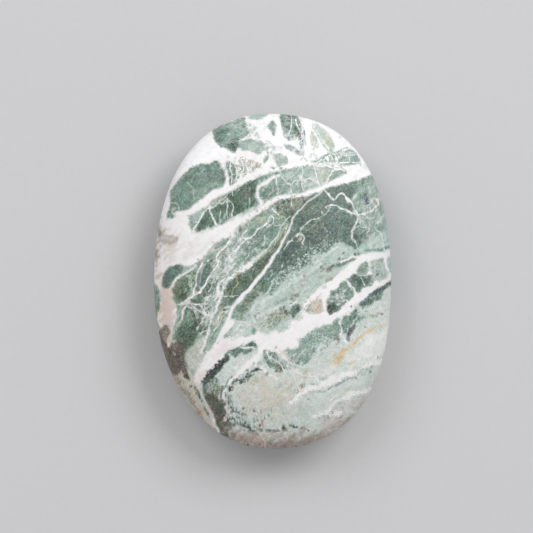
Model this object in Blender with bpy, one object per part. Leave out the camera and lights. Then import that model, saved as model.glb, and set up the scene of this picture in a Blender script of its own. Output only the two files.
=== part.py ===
"""A palm stone: one oval piece of green and white veined rock, ground to a smooth pebble and lying on its back.

Metres, +Z up. The stone's long axis runs along Y and its short one along X. The origin is on the
surface that the stone rests on, under the middle of the stone's box.
"""

import math

import bmesh
import bpy
from mathutils import Vector

# The stone's box.
LENGTH = 0.0700
WIDTH = 0.0496
THICKNESS = 0.0200

# The small flat that the stone rests on, measured along the long axis.
FLAT_SPOT_LENGTH = 0.0220

# How much further the oval reaches than an ellipse at its four shoulders, as a share of its radius.
# The head is the end at +Y. The tail's left shoulder was ground leaner than the others.
SHOULDERS = {
    "head right": (math.radians(45), 0.058),
    "head left": (math.radians(135), 0.044),
    "tail left": (math.radians(225), 0.018),
    "tail right": (math.radians(315), 0.053),
}

# Powers of the profile: 2 and 2 make an ellipse. A higher first one gives flatter faces,
# and the second one keeps the rim round.
FACE_FLATNESS = 2.5
RIM_ROUNDNESS = 2.0

# The head is this share thicker than the middle, and the tail as much thinner.
HEAD_THICKENING = 0.035

# The cube that is blown up into the stone is cut into this many squares along each edge.
SQUARES = 24
# Enough steps of Newton's method for a point to settle on the surface.
SETTLING_STEPS = 8

ROCK_COLOUR = (0.33, 0.42, 0.36, 1.0)
ROCK_ROUGHNESS = 0.38


def clear_scene():
    for obj in list(bpy.data.objects):
        bpy.data.objects.remove(obj)


def oval_radius(across, along):
    """How far the oval reaches in that direction, where an ellipse reaches 1."""
    heading = math.atan2(along, across)
    fullness = sum(full * max(0.0, math.cos(heading - at)) ** 2 for at, full in SHOULDERS.values())
    return 1 + fullness * math.sin(2 * heading) ** 2


def reach_of(plan, height):
    """The factor that moves a point at this plan radius and height onto the stone's profile."""
    reach = 1 / max(plan, height)
    for _ in range(SETTLING_STEPS):
        face = (reach * plan) ** FACE_FLATNESS
        rim = (reach * height) ** RIM_ROUNDNESS
        reach -= reach * (face + rim - 1) / (FACE_FLATNESS * face + RIM_ROUNDNESS * rim)
    return reach


def on_stone(point):
    """A point of a cube of side 2, moved to the stone's surface. The stone's half sizes are 1 here."""
    across, along, up = (math.tan(c * math.pi / 4) for c in point)
    plan = math.hypot(across, along) / oval_radius(across, along)
    across, along, up = (c * reach_of(plan, abs(up)) for c in (across, along, up))
    return Vector((across, along, up * (1 + HEAD_THICKENING * along)))


def grind_flat_spot(bm):
    """Cuts the underside with a level plane, at the depth that gives the flat its length."""
    share = FLAT_SPOT_LENGTH / LENGTH
    depth = 1 - (1 - share**FACE_FLATNESS) ** (1 / RIM_ROUNDNESS)
    lowest = min(v.co.z for v in bm.verts)
    cut = bmesh.ops.bisect_plane(
        bm,
        geom=bm.verts[:] + bm.edges[:] + bm.faces[:],
        plane_co=(0, 0, lowest + depth),
        plane_no=(0, 0, -1),
        clear_outer=True,
    )
    rim = [e for e in cut["geom_cut"] if isinstance(e, bmesh.types.BMEdge)]
    bmesh.ops.contextual_create(bm, geom=rim)


def fit_to_box(bm):
    """Scales the mesh to the stone's width, length and thickness, and stands it on the origin."""
    lows = [min(v.co[i] for v in bm.verts) for i in range(3)]
    highs = [max(v.co[i] for v in bm.verts) for i in range(3)]
    under_middle = Vector(((lows[0] + highs[0]) / 2, (lows[1] + highs[1]) / 2, lows[2]))
    scale = [size / (high - low) for size, low, high in zip((WIDTH, LENGTH, THICKNESS), lows, highs)]
    bmesh.ops.translate(bm, vec=-under_middle, verts=bm.verts)
    bmesh.ops.scale(bm, vec=scale, verts=bm.verts)


def rock():
    material = bpy.data.materials.new("veined rock")
    material.use_nodes = True
    shader = material.node_tree.nodes["Principled BSDF"]
    shader.inputs["Base Color"].default_value = ROCK_COLOUR
    shader.inputs["Roughness"].default_value = ROCK_ROUGHNESS
    material.diffuse_color = ROCK_COLOUR
    return material


def palm_stone():
    bm = bmesh.new()
    bmesh.ops.create_cube(bm, size=2)
    bmesh.ops.subdivide_edges(bm, edges=bm.edges[:], cuts=SQUARES - 1, use_grid_fill=True)
    for vertex in bm.verts:
        vertex.co = on_stone(vertex.co)
    grind_flat_spot(bm)
    fit_to_box(bm)
    bmesh.ops.recalc_face_normals(bm, faces=bm.faces)
    mesh = bpy.data.meshes.new("palm_stone")
    bm.to_mesh(mesh)
    bm.free()
    mesh.shade_smooth()
    mesh.materials.append(rock())
    return bpy.data.objects.new("palm_stone", mesh)


def main():
    clear_scene()
    collection = bpy.data.collections.new("palm stone")
    bpy.context.scene.collection.children.link(collection)
    collection.objects.link(palm_stone())


main()
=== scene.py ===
import math

import bmesh
import bpy
import numpy as np
from mathutils import Matrix, Vector, noise


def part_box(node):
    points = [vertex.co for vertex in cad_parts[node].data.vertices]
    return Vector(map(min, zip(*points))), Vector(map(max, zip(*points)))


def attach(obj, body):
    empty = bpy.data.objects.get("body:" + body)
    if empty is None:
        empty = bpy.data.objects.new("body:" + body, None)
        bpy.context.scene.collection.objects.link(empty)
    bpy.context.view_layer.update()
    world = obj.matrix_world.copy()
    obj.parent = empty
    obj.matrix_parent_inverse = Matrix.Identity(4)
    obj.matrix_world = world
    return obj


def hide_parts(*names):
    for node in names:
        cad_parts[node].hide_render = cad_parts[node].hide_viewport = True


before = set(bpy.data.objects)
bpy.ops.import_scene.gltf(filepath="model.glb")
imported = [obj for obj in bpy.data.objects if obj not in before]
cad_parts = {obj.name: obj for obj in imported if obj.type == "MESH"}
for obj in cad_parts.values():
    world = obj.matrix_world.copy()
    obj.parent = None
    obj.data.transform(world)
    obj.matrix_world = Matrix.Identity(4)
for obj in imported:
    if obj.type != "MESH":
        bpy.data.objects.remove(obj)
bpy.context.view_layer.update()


# The camera looks down on the stone, a few degrees from its left and from its tail, so that the
# picture's up is the stone's +Y. It is far off, behind a long lens, so the oval isn't drawn out.
IMAGE_SIZE = 533
SENSOR_WIDTH = 36.0
LENS = 145.9
CAMERA_DISTANCE = 0.45
CAMERA_AIM = Vector((-0.00142, 0.00287, 0.0100))
CAMERA_FROM_LEFT = math.radians(6)
CAMERA_FROM_TAIL = math.radians(5)

camera_data = bpy.data.cameras.new("camera")
camera_data.sensor_width = SENSOR_WIDTH
camera_data.lens = LENS
camera_data.clip_start = 0.01
camera = bpy.data.objects.new("camera", camera_data)
towards_eye = Vector((-math.sin(CAMERA_FROM_LEFT), -math.sin(CAMERA_FROM_TAIL), 1)).normalized()
to_the_right = Vector((0, 1, 0)).cross(towards_eye).normalized()
camera_turn = Matrix((to_the_right, towards_eye.cross(to_the_right), towards_eye)).transposed()
camera.location = CAMERA_AIM + CAMERA_DISTANCE * towards_eye
camera.rotation_euler = camera_turn.to_euler()
bpy.context.scene.collection.objects.link(camera)
bpy.context.scene.camera = camera


# The palm stone is one piece of green and white veined rock. It was tumbled and ground to a smooth
# oval with full shoulders and a round rim, then polished to a satin. Its underside has a small flat.
stone_low, stone_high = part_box("palm_stone")
WIDTH, LENGTH, THICKNESS = (high - low for low, high in zip(stone_low, stone_high))
FLAT_SPOT_LENGTH = 0.0220
SHOULDERS = {
    "head right": (math.radians(45), 0.058),
    "head left": (math.radians(135), 0.044),
    "tail left": (math.radians(225), 0.018),
    "tail right": (math.radians(315), 0.053),
}
FACE_FLATNESS = 2.5
RIM_ROUNDNESS = 2.0
HEAD_THICKENING = 0.035
SETTLING_STEPS = 8
SQUARES_ACROSS = 148
SQUARES_ALONG = 190
SQUARES_UP = 56
MOSTLY_ALONG = 0.9


def oval_radius(across, along):
    """How far the oval reaches in that direction, where an ellipse reaches 1."""
    heading = math.atan2(along, across)
    fullness = sum(full * max(0.0, math.cos(heading - at)) ** 2 for at, full in SHOULDERS.values())
    return 1 + fullness * math.sin(2 * heading) ** 2


def reach_of(plan, height):
    """The factor that moves a point at this plan radius and height onto the stone's profile."""
    reach = 1 / max(plan, height)
    for _ in range(SETTLING_STEPS):
        face = (reach * plan) ** FACE_FLATNESS
        rim = (reach * height) ** RIM_ROUNDNESS
        reach -= reach * (face + rim - 1) / (FACE_FLATNESS * face + RIM_ROUNDNESS * rim)
    return reach


def on_stone(point):
    """A point of a cube of side 2, moved to the stone's surface. The stone's half sizes are 1 here."""
    across, along, up = (math.tan(c * math.pi / 4) for c in point)
    plan = math.hypot(across, along) / oval_radius(across, along)
    across, along, up = (c * reach_of(plan, abs(up)) for c in (across, along, up))
    return Vector((across, along, up * (1 + HEAD_THICKENING * along)))


def cut_edges_along(bm, axis, squares):
    """Cuts every edge that runs along this axis into that many pieces."""
    edges = [e for e in bm.edges if abs((e.verts[1].co - e.verts[0].co).normalized()[axis]) > MOSTLY_ALONG]
    bmesh.ops.subdivide_edges(bm, edges=edges, cuts=squares - 1, use_grid_fill=True)


def grind_flat_spot(bm):
    """Cuts the underside along a level plane, at the depth that gives the flat its length, and presses
    what is below it up to the plane. The flat keeps its points, and they carry the markings on."""
    share = FLAT_SPOT_LENGTH / LENGTH
    depth = 1 - (1 - share**FACE_FLATNESS) ** (1 / RIM_ROUNDNESS)
    level = min(v.co.z for v in bm.verts) + depth
    geometry = bm.verts[:] + bm.edges[:] + bm.faces[:]
    bmesh.ops.bisect_plane(bm, geom=geometry, plane_co=(0, 0, level), plane_no=(0, 0, -1))
    for vertex in bm.verts:
        vertex.co.z = max(vertex.co.z, level)


def fit_to_box(bm):
    """Scales the mesh to the stone's width, length and thickness, and stands it where the CAD stone is."""
    lows = [min(v.co[i] for v in bm.verts) for i in range(3)]
    highs = [max(v.co[i] for v in bm.verts) for i in range(3)]
    scale = [size / (high - low) for size, low, high in zip((WIDTH, LENGTH, THICKNESS), lows, highs)]
    bmesh.ops.translate(bm, vec=-Vector(lows), verts=bm.verts)
    bmesh.ops.scale(bm, vec=scale, verts=bm.verts)
    bmesh.ops.translate(bm, vec=Vector(stone_low), verts=bm.verts)


bm = bmesh.new()
bmesh.ops.create_cube(bm, size=2)
cut_edges_along(bm, 0, SQUARES_ACROSS)
cut_edges_along(bm, 1, SQUARES_ALONG)
cut_edges_along(bm, 2, SQUARES_UP)
for vertex in bm.verts:
    vertex.co = on_stone(vertex.co)
grind_flat_spot(bm)
fit_to_box(bm)
bmesh.ops.recalc_face_normals(bm, faces=bm.faces)
stone_mesh = bpy.data.meshes.new("polished_palm_stone")
bm.to_mesh(stone_mesh)
bm.free()
stone_mesh.shade_smooth()
stone = bpy.data.objects.new("polished_palm_stone", stone_mesh)
bpy.context.scene.collection.objects.link(stone)


# The stone's markings are where the rock broke and healed: green rock in angular pieces, with
# white veins between them. They are laid on the mesh as marks with places in the photograph's
# pixels, seen through the camera, and kept on its points. Nothing of a mark is raised.
PIXEL = 0.000208
RIM_HEIGHT = 0.0100
DIP = (0.30, 0.22)
BACK_WANDER = 0.13
BACK_WANDER_SIZE = 45
WAVER = 1.1
WAVER_SIZE = 7
FINE_WAVER = 0.6
FINE_WAVER_SIZE = 2.7
NOISE_TO_FULL = 1.6
GRIT_SIZE = 2.3
LUMP_SIZE = 6.5
DRIFT_SIZE = 3.5
NOISE_SEED = 7
TO_VEIN_SLANT = np.array([[0.72, 0.69], [-0.69, 0.72]])
DRAWN_OUT = (5.0, 1.0)

# The noise takes its start from the clock unless it is given one, and every run must make one stone.
noise.seed_set(NOISE_SEED)
places = np.empty(3 * len(stone_mesh.vertices))
stone_mesh.vertices.foreach_get("co", places)
places = places.reshape(-1, 3)


def seen_at(points):
    """The pixel of the 533 x 533 picture in which the camera sees each point, through the stone too."""
    seen = (points - np.array(camera.location)) @ np.array(camera_turn)
    scale = IMAGE_SIZE * LENS / SENSOR_WIDTH / -seen[:, 2]
    return np.stack([IMAGE_SIZE / 2 + scale * seen[:, 0], IMAGE_SIZE / 2 - scale * seen[:, 1]], 1)


def wander(points, size, layer):
    """A smooth random pair for each point, which changes over about this many pixels. Layers differ."""
    return np.array([noise.noise_vector((x / size, y / size, layer))[:2] for x, y in points])


# Below the rim the markings dip into the rock and wander, and all their edges waver a little. Three
# noises make an edge ragged: fine grit, broader lumps, and a drift that is drawn out along the veins.
spots = seen_at(places)
depth = 2 * np.maximum(0, RIM_HEIGHT - places[:, 2]) / PIXEL
spots += depth[:, None] * DIP
spots += BACK_WANDER * depth[:, None] * 2 * wander(spots, BACK_WANDER_SIZE, 3.3)
spots += WAVER * wander(spots, WAVER_SIZE, 0.5) + FINE_WAVER * wander(spots, FINE_WAVER_SIZE, 7.5)
grit = NOISE_TO_FULL * wander(spots, GRIT_SIZE, 11.5)[:, 0]
lump = NOISE_TO_FULL * wander(spots, LUMP_SIZE, 21.5)[:, 0]
along_veins = spots @ TO_VEIN_SLANT / DRAWN_OUT
drift = NOISE_TO_FULL * wander(along_veins, DRIFT_SIZE, 31.5)[:, 0]

# The rock's tones, as a screen shows them.
INK = (32, 46, 46)
DEEP = (48, 70, 62)
DARK = (68, 92, 80)
MOSS = (86, 112, 100)
GREEN = (110, 136, 123)
SAGE = (140, 162, 150)
PALE_SAGE = (167, 184, 174)
MINT = (189, 203, 195)
PALE_MINT = (208, 216, 210)
CHALK = (228, 230, 226)
SEA = (106, 140, 131)
PALE_SEA = (170, 194, 185)
SLATE = (108, 118, 122)
BLUE_GREY = (156, 168, 170)
PALE_BLUE = (186, 195, 197)
OLIVE = (116, 117, 92)
DARK_OLIVE = (90, 94, 72)
KHAKI = (158, 158, 126)
PALE_OLIVE = (186, 186, 162)
UMBER = (80, 70, 60)
BROWN = (112, 104, 90)
TAUPE = (146, 138, 128)
BEIGE = (198, 187, 171)
PALE_BEIGE = (214, 206, 194)
OCHRE = (210, 182, 136)
RUST = (192, 136, 92)
PINK = (214, 196, 190)
BLUSH = (226, 214, 210)
VIOLET = (170, 164, 172)
MILK = (230, 229, 228)
WHITE = (234, 231, 231)

# What the marks leave on each point: the tones of the green rock and of the veins, how far white
# rock is, the nearest hairline, the grain, and how netted the rock and how frayed its white edge is.
FAR = 8.0
rock_tone = np.tile(np.array(MINT, float), (len(spots), 1))
vein_tone = np.tile(np.array(WHITE, float), (len(spots), 1))
off_white = np.full(len(spots), FAR)
hairline = np.tile([FAR, FAR, FAR], (len(spots), 1))
grain = np.tile([0.0, 0.0, 0.5], (len(spots), 1))
web = np.full((len(spots), 1), 0.06)
fraying = np.full((len(spots), 1), 0.6)


def rounded(points, closed):
    """The points with three more between each two, on a smooth curve through them."""
    points = np.array(points, float)
    if len(points) < 3:
        return points
    if closed:
        before, start, end, after = (np.roll(points, turn, axis=0) for turn in (1, 0, -1, -2))
    else:
        padded = np.vstack([2 * points[0] - points[1], points, 2 * points[-1] - points[-2]])
        before, start, end, after = padded[:-3], padded[1:-2], padded[2:-1], padded[3:]
    steps = []
    for t in (0, 0.25, 0.5, 0.75):
        bend = (2 * before - 5 * start + 4 * end - after) * t**2
        sway = (3 * start - before - 3 * end + after) * t**3
        steps.append(start + 0.5 * ((end - before) * t + (bend + sway)))
    curve = np.stack(steps, 1).reshape(-1, points.shape[1])
    return curve if closed else np.vstack([curve, points[-1]])


def near(points, margin):
    """Which of the stone's points lie within this margin of the box round these ones."""
    low, high = points[:, :2].min(0) - margin, points[:, :2].max(0) + margin
    return np.nonzero(((spots > low) & (spots < high)).all(1))[0]


def nearest_on(route, here):
    """For each spot, its offset from the nearest point of the route, and the route's width there."""
    start, run = route[:-1], route[1:] - route[:-1]
    length2 = np.maximum((run[:, :2] ** 2).sum(1), 1e-9)
    share = ((here[:, None] - start[:, :2]) * run[:, :2]).sum(2) / length2
    share = np.clip(share, 0, 1)[..., None]
    on_route = start + share * run
    away = here[:, None] - on_route[..., :2]
    best = (np.hypot(away[..., 0], away[..., 1]) - on_route[..., 2] / 2).argmin(1)
    rows = np.arange(len(here))
    return away[rows, best], on_route[rows, best, 2]


def outside(outline, here):
    """How far each spot is outside the outline, in pixels. Inside, it is less than nothing."""
    ring = np.vstack([outline, outline[:1]])
    away, _ = nearest_on(np.column_stack([ring, np.zeros(len(ring))]), here)
    x, y = here[:, :1], here[:, 1:]
    x0, y0, x1, y1 = outline[:, 0], outline[:, 1], ring[1:, 0], ring[1:, 1]
    rise = np.where(y1 == y0, 1e-9, y1 - y0)
    crossed = ((y0 > y) != (y1 > y)) & (x < x0 + (y - y0) * (x1 - x0) / rise)
    return np.hypot(away[:, 0], away[:, 1]) * np.where(crossed.sum(1) % 2 == 1, -1, 1)


GRIT_SHARE = 0.35
LUMP_SHARE = 0.25
DRIFT_SHARE = 0.4


def lay(field, which, colour, beyond, soft, strength):
    """Lays a colour on a field of the stone, fading out over this softness at a ragged edge."""
    ragged = GRIT_SHARE * grit[which] + LUMP_SHARE * lump[which] + DRIFT_SHARE * drift[which]
    ragged = beyond + soft * ragged
    cover = np.clip(0.5 - ragged / soft, 0, 1)
    cover = (strength * cover * cover * (3 - 2 * cover))[:, None]
    field[which] += cover * (np.array(colour, float) - field[which])


def rock(colour, soft, *outline, strength=1.0):
    """An area of the green rock that has this colour."""
    outline = rounded(outline, closed=True)
    which = near(outline, 2 * soft)
    lay(rock_tone, which, colour, outside(outline, spots[which]), soft, strength)


def island(colour, *outline, soft=1.2, strength=1.0, fray=0.5):
    """A piece of green rock with white all round it."""
    outline = rounded(outline, closed=True)
    which = near(outline, 6)
    beyond = outside(outline, spots[which])
    lay(rock_tone, which, colour, beyond - 1.5, soft, strength)
    lay(fraying, which, fray, beyond - 2, 1.5, 1.0)
    off_white[which] = np.maximum(off_white[which], -beyond)


def beside(route, which):
    """How far these points of the stone are from the side of a route, in pixels."""
    away, width = nearest_on(route, spots[which])
    return np.hypot(away[:, 0], away[:, 1]) - width / 2


def draw(field, colour, soft, route, strength):
    """Draws a soft line on a field of the stone. The route's points are x, y and width."""
    route = rounded(route, closed=False)
    which = near(route, 2 * soft + route[:, 2].max() / 2)
    lay(field, which, colour, beside(route, which), soft, strength)


def streak(colour, soft, *route, strength=1.0):
    """A streak of colour in the green rock."""
    draw(rock_tone, colour, soft, route, strength)


def stain(colour, soft, *route, strength=1.0):
    """A streak of colour in the white rock."""
    draw(vein_tone, colour, soft, route, strength)


def dots(colour, radius, *centres, soft=0.9, strength=1.0):
    """Small round spots in the green rock, or in the white, where they cut a hole in it."""
    for x, y in centres:
        which = np.nonzero(np.hypot(spots[:, 0] - x, spots[:, 1] - y) < radius + 3)[0]
        beyond = np.hypot(spots[which, 0] - x, spots[which, 1] - y) - radius
        cover_out = beyond - np.where(off_white[which] < 0, 1.0, 0.0)
        lay(rock_tone, which, colour, cover_out, soft, strength)
        off_white[which] = np.maximum(off_white[which], -beyond)


def sprinkle(colour, count, x, y, reach_x, reach_y, turn=0, radius=0.7, strength=0.9):
    """Small spots strewn over a soft oval, the same ones on every run."""
    scatter = np.random.default_rng(round(7 * x + 13 * y)).normal(0, 0.5, (count, 2)) * (reach_x, reach_y)
    turn = math.radians(turn)
    across = x + scatter[:, 0] * math.cos(turn) - scatter[:, 1] * math.sin(turn)
    along = y - scatter[:, 0] * math.sin(turn) - scatter[:, 1] * math.cos(turn)
    dots(colour, radius, *zip(across, along), strength=strength)


def cloud(field, colour, x, y, reach_x, reach_y, strength=1.0, turn=0):
    """A soft oval of colour, or of grain, that fades from its middle to its edge."""
    across, along = spots[:, 0] - x, y - spots[:, 1]
    turn = math.radians(turn)
    u = (across * math.cos(turn) + along * math.sin(turn)) / reach_x
    v = (along * math.cos(turn) - across * math.sin(turn)) / reach_y
    which = np.nonzero(np.hypot(u, v) < 1.6)[0]
    lay(field, which, colour, np.hypot(u, v)[which] - 0.5, 1.0, strength)


def tint(colour, x, y, reach_x, reach_y, strength=1.0, turn=0):
    """A soft oval of colour in the green rock."""
    cloud(rock_tone, colour, x, y, reach_x, reach_y, strength, turn)


GLOW_STRENGTH = 0.4


def whiten(which, beyond, glow, fray):
    """Keeps the distance to white rock, and lightens the green rock along it over some pixels."""
    off_white[which] = np.minimum(off_white[which], beyond + 0.2)
    lay(rock_tone, which, MILK, beyond - 0.4, glow, GLOW_STRENGTH)
    lay(fraying, which, fray, beyond - 3, 2.0, 1.0)


def white(*outline, glow=3.0, fray=0.6):
    """An area of white vein rock."""
    outline = rounded(outline, closed=True)
    which = near(outline, FAR)
    whiten(which, outside(outline, spots[which]), glow, fray)


def vein(*route, glow=2.0, fray=0.5):
    """A white vein. The route's points are x, y and width."""
    route = rounded(route, closed=False)
    which = near(route, FAR + route[:, 2].max() / 2)
    whiten(which, beside(route, which), glow, fray)


HAIR_HAZE = 2.6
HAIR_HAZE_STRENGTH = 0.28
HAIR_CORE = 0.75


def hair(colour, width, *route):
    """A hairline vein in a thin haze. The stone keeps each point's offset from it, in half widths, and
    its distance less one pixel, which holds back false lines where two hairlines' offsets blend."""
    route = rounded([(*point[:2], point[2] if len(point) > 2 else width) for point in route], closed=False)
    which = near(route, 6)
    away, wide = nearest_on(route, spots[which])
    apart = np.hypot(away[:, 0], away[:, 1])
    lay(rock_tone, which, colour, apart - 0.3 * wide, HAIR_HAZE, HAIR_HAZE_STRENGTH)
    half = HAIR_CORE * wide / 2
    steps = apart / half
    closer = steps < np.hypot(hairline[which, 0], hairline[which, 1])
    here = which[closer]
    hairline[here, :2] = away[closer] / half[closer, None]
    hairline[here, 2] = steps[closer] - 1.0 / half[closer]
    lay(vein_tone, which, colour, apart - half - 1, 1.0, 1.0)


# Broad tones of the green rock, from the head to the tail.
rock(SAGE, 8, (255, 160), (340, 160), (350, 200), (300, 215), (200, 235), (190, 205))
rock(PALE_BEIGE, 8, (120, 215), (178, 226), (205, 235), (200, 262), (180, 275), (172, 330), (120, 340))
rock((152, 171, 158), 6, (200, 235), (292, 214), (300, 250), (250, 300), (225, 345), (190, 372), (172, 345),
    (180, 270))
rock(MOSS, 3.5, (276, 203), (322, 190), (345, 182), (372, 174), (410, 165), (420, 236), (384, 238),
    (372, 240), (361, 245), (357, 250), (353, 247), (346, 245), (340, 242.5), (333, 247.5), (324, 253),
    (317, 254.5), (311, 262), (306, 266), (292, 272), (285, 280), (278, 288), (265, 294), (250, 287),
    (262, 272), (278, 250), (289, 226))
rock(SAGE, 12, (358, 182), (410, 165), (420, 250), (372, 243), (362, 226), (354, 205))
rock(PALE_SEA, 5, (362, 246), (366, 241), (373, 237), (381, 232), (410, 226), (410, 252), (383, 253),
    (370, 257), (360, 258), (352, 258))
tint((180, 196, 188), 374, 192, 18, 15, 0.9)
tint(PALE_MINT, 380, 243, 16, 12, 0.9)
tint((182, 202, 196), 388, 205, 10, 34, 0.8)
tint((62, 86, 76), 318, 230, 38, 20, 0.9, turn=25)
tint((60, 84, 72), 292, 256, 24, 17, turn=45)
tint((58, 84, 72), 288, 250, 8, 16, 0.7, turn=-35)
tint(DARK_OLIVE, 312, 207, 16, 8, 0.8, turn=20)
tint(GREEN, 296, 230, 6, 8, 0.7)
tint(SLATE, 338, 229, 12, 10, 0.35)
tint(SLATE, 300, 250, 8, 9, 0.3)
tint(GREEN, 362, 230, 10, 14, 0.7)
tint(TAUPE, 324, 243, 5, 10, 0.4)
tint(SAGE, 290, 278, 20, 12, 0.6, turn=40)
rock((186, 201, 192), 4, (308, 266), (313, 261), (318, 255), (326, 254), (334, 248), (340, 243.5),
    (346, 246), (352, 249), (356, 257), (322, 285), (304, 300), (300, 318), (268, 330), (235, 335),
    (228, 318), (248, 305), (262, 294), (285, 292), (300, 270))
tint(PALE_SEA, 326, 258, 22, 6, 0.9, turn=35)
tint(SAGE, 296, 278, 12, 9, 0.7, turn=35)
tint(SAGE, 272, 290, 12, 7, 0.7, turn=30)
tint(SAGE, 282, 318, 24, 6, 0.55, turn=25)
tint(MINT, 278, 302, 22, 8, 0.7, turn=20)
rock(PALE_MINT, 10, (300, 318), (352, 300), (410, 290), (420, 380), (380, 440), (300, 480), (215, 470),
    (205, 430), (214, 372), (250, 345), (300, 350))
rock(CHALK, 12, (384, 318), (396, 330), (394, 356), (372, 360), (352, 366), (345, 358), (356, 344),
    (366, 336), (378, 330))
tint((238, 238, 234), 371, 343, 24, 20, 0.9)
tint(CHALK, 322, 372, 30, 9, 0.9, turn=18)
tint(CHALK, 335, 388, 40, 12, 0.6, turn=25)
tint(CHALK, 240, 365, 9, 14, 0.6, turn=-30)
tint((208, 204, 192), 268, 398, 50, 34)
tint(MINT, 300, 412, 26, 14, 0.5)
tint((220, 227, 223), 390, 300, 16, 24, 0.9)

# The head: white, with pieces of green in it.
white((130, 60), (130, 232), (150, 228), (166, 221), (178, 217), (190, 214.8), (197, 210.8), (204, 206.5),
    (212, 199.8), (220, 195), (228, 191.5), (235, 189.2), (242, 184.5), (250, 180.5), (258, 177.2),
    (266, 173.8), (275, 171.3), (285, 169.2), (295, 167), (305, 165), (313, 165), (320, 164.8),
    (328, 165.2), (334, 166.5), (345, 169), (348, 173), (343, 178), (338, 181), (331, 184), (330, 186.5),
    (335, 185.5), (341, 184.5), (346, 183), (350, 181.5), (355, 180), (359, 179), (363, 177.5),
    (368, 176.5), (371, 174.5), (384, 168), (430, 150), (430, 60))
island(GREEN, (212.5, 133), (213.5, 129.5), (216, 127.5), (221, 125.5), (226, 123.5), (232, 121),
    (238, 118.5), (244, 117), (245, 121), (247, 126), (250, 131), (249, 134), (246, 136.5), (243, 138.5),
    (240, 140.5), (237, 144), (233, 144), (229, 144.5), (225, 146), (221, 147), (219, 145.5), (216, 142.5),
    (214, 139))
tint((158, 178, 168), 236, 130, 22, 16, 0.8)
tint(PALE_SAGE, 240, 126, 12, 12, 0.9)
tint(SEA, 222, 135, 9, 9, 0.5)
dots(PALE_SAGE, 1.3, (228.5, 134))
island(SAGE, (222, 144), (232, 142), (241, 141.5), (250, 139), (254, 141), (248, 147), (241, 148),
    (232, 148), (224, 147.5))
island(MOSS, (228, 144.5), (232, 144), (237, 144.5), (238, 147), (237, 150), (236, 152.5), (233, 153),
    (231, 151.5), (228, 149.5), (226.5, 147))
dots(PALE_SAGE, 0.9, (236, 147.5))
island(PALE_SAGE, (240, 145), (242, 143), (246, 144.5), (249, 144), (252, 141.5), (256, 141), (259, 140.5),
    (262, 140.3), (263.5, 142.5), (265.5, 144), (265, 147), (264.5, 150), (262, 152), (260, 154),
    (257, 155), (254.5, 153.5), (251, 151.5), (248, 150), (243, 150.5), (240.5, 149))
tint(BLUE_GREY, 245, 147, 6, 4, 0.9)
tint(SAGE, 259, 148, 6, 6, 0.7)
streak(GREEN, 1, (252, 135, 2), (255, 138, 2))
island(PALE_SEA, (249, 112), (262, 110), (268, 111), (268, 114.5), (264, 117.5), (260, 119.5), (251, 119.5),
    (249, 118))
island(SAGE, (271, 121), (275, 120.5), (277, 124), (276, 127), (275.5, 131), (275, 135), (273.5, 137.5),
    (272, 135), (271, 130.5), (268, 128.5), (267, 126), (269, 123.5))
tint(BLUE_GREY, 272, 126, 4, 3, 0.6)
island(GREEN, (280.5, 117), (281, 112), (285, 111), (291, 112), (296, 115), (299, 120), (301, 123.5),
    (300.5, 127), (300.5, 131), (301, 134), (303, 139), (303.5, 145), (301, 147), (297.5, 143), (295, 141),
    (291, 141), (287, 140), (284, 137), (282, 131), (281.5, 126), (281, 122))
tint(PALE_BLUE, 287, 136, 5, 4, 0.9)
tint(PALE_MINT, 291, 139, 5, 3, 0.8)
island(BLUE_GREY, (284, 144), (290, 145), (296, 147), (302, 147), (305, 151), (303, 155), (298, 155.5),
    (293, 152), (287, 149.5), soft=2.5)
tint(GREEN, 299, 152, 5, 2.5, 0.7)
hair(WHITE, 1.1, (290, 112), (292, 120), (291, 128), (288, 136))
hair(MILK, 1.3, (296, 119), (297, 126), (300, 133))
dots(DEEP, 1.2, (293, 122), (295.5, 122), (292, 124.5), (299, 125))
streak(DEEP, 1, (297.5, 127, 2.5), (298, 131, 3), (298.5, 135, 3), (299, 139, 2.5))
tint(SLATE, 284, 128, 3, 4, 0.6)
streak(BLUE_GREY, 1, (290.5, 134, 2), (291.5, 139, 1.5))
streak(BLUE_GREY, 1, (285.5, 138, 1.5), (287.5, 144, 2))
island(SAGE, (301, 130), (303, 128), (304.5, 130), (305.5, 134), (305, 137), (302.5, 135.5), (301, 133))
dots(DEEP, 1.0, (304.3, 133.2), (304.6, 135.2))
island(SAGE, (303.5, 138), (305, 138), (305.5, 142), (306.5, 145.5), (304, 144), (303, 141))
dots(SLATE, 1.8, (298.5, 151.5))
dots(SLATE, 0.9, (290, 148.2), (304, 151), (281.5, 148))
dots(PALE_BLUE, 2.2, (274, 148))
island(PALE_SAGE, (271.5, 151.5), (273, 153.5), (276, 154.5), (279, 153), (282, 155), (284, 156),
    (286, 155), (287.5, 157), (288.5, 160), (288, 163), (286, 165), (285, 167.5), (281, 168.5),
    (278.5, 166), (276, 163), (273.5, 160), (273, 157))
island(SAGE, (266.5, 150), (268, 151), (268.3, 154), (268, 159), (267, 161.5), (265.5, 163.5), (264, 162),
    (263.8, 159), (265, 156), (266.5, 155))
dots(DARK, 0.9, (267.3, 152))
island(MINT, (312.5, 124), (318, 124.5), (323, 128), (327, 132), (330.5, 136.5), (333, 140), (335, 145),
    (334.5, 149), (331, 152.5), (328, 151.5), (324, 148), (321.5, 144), (320, 140), (317, 136),
    (315.5, 132.5), (312.5, 128))
tint((196, 198, 168), 329, 142, 7, 9, 0.9)
hair(WHITE, 1.0, (312, 122), (318, 132), (323, 141), (329, 150))
dots(SAGE, 1.5, (330.5, 149.5))
island((188, 198, 178), (310.5, 131.5), (312.5, 131), (315, 136), (318, 141), (319.5, 146), (316, 149),
    (311.5, 148), (310.5, 140))
dots(WHITE, 1.0, (314.5, 141.5))
dots(TAUPE, 0.8, (315.7, 137), (339.5, 137.5))
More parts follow.
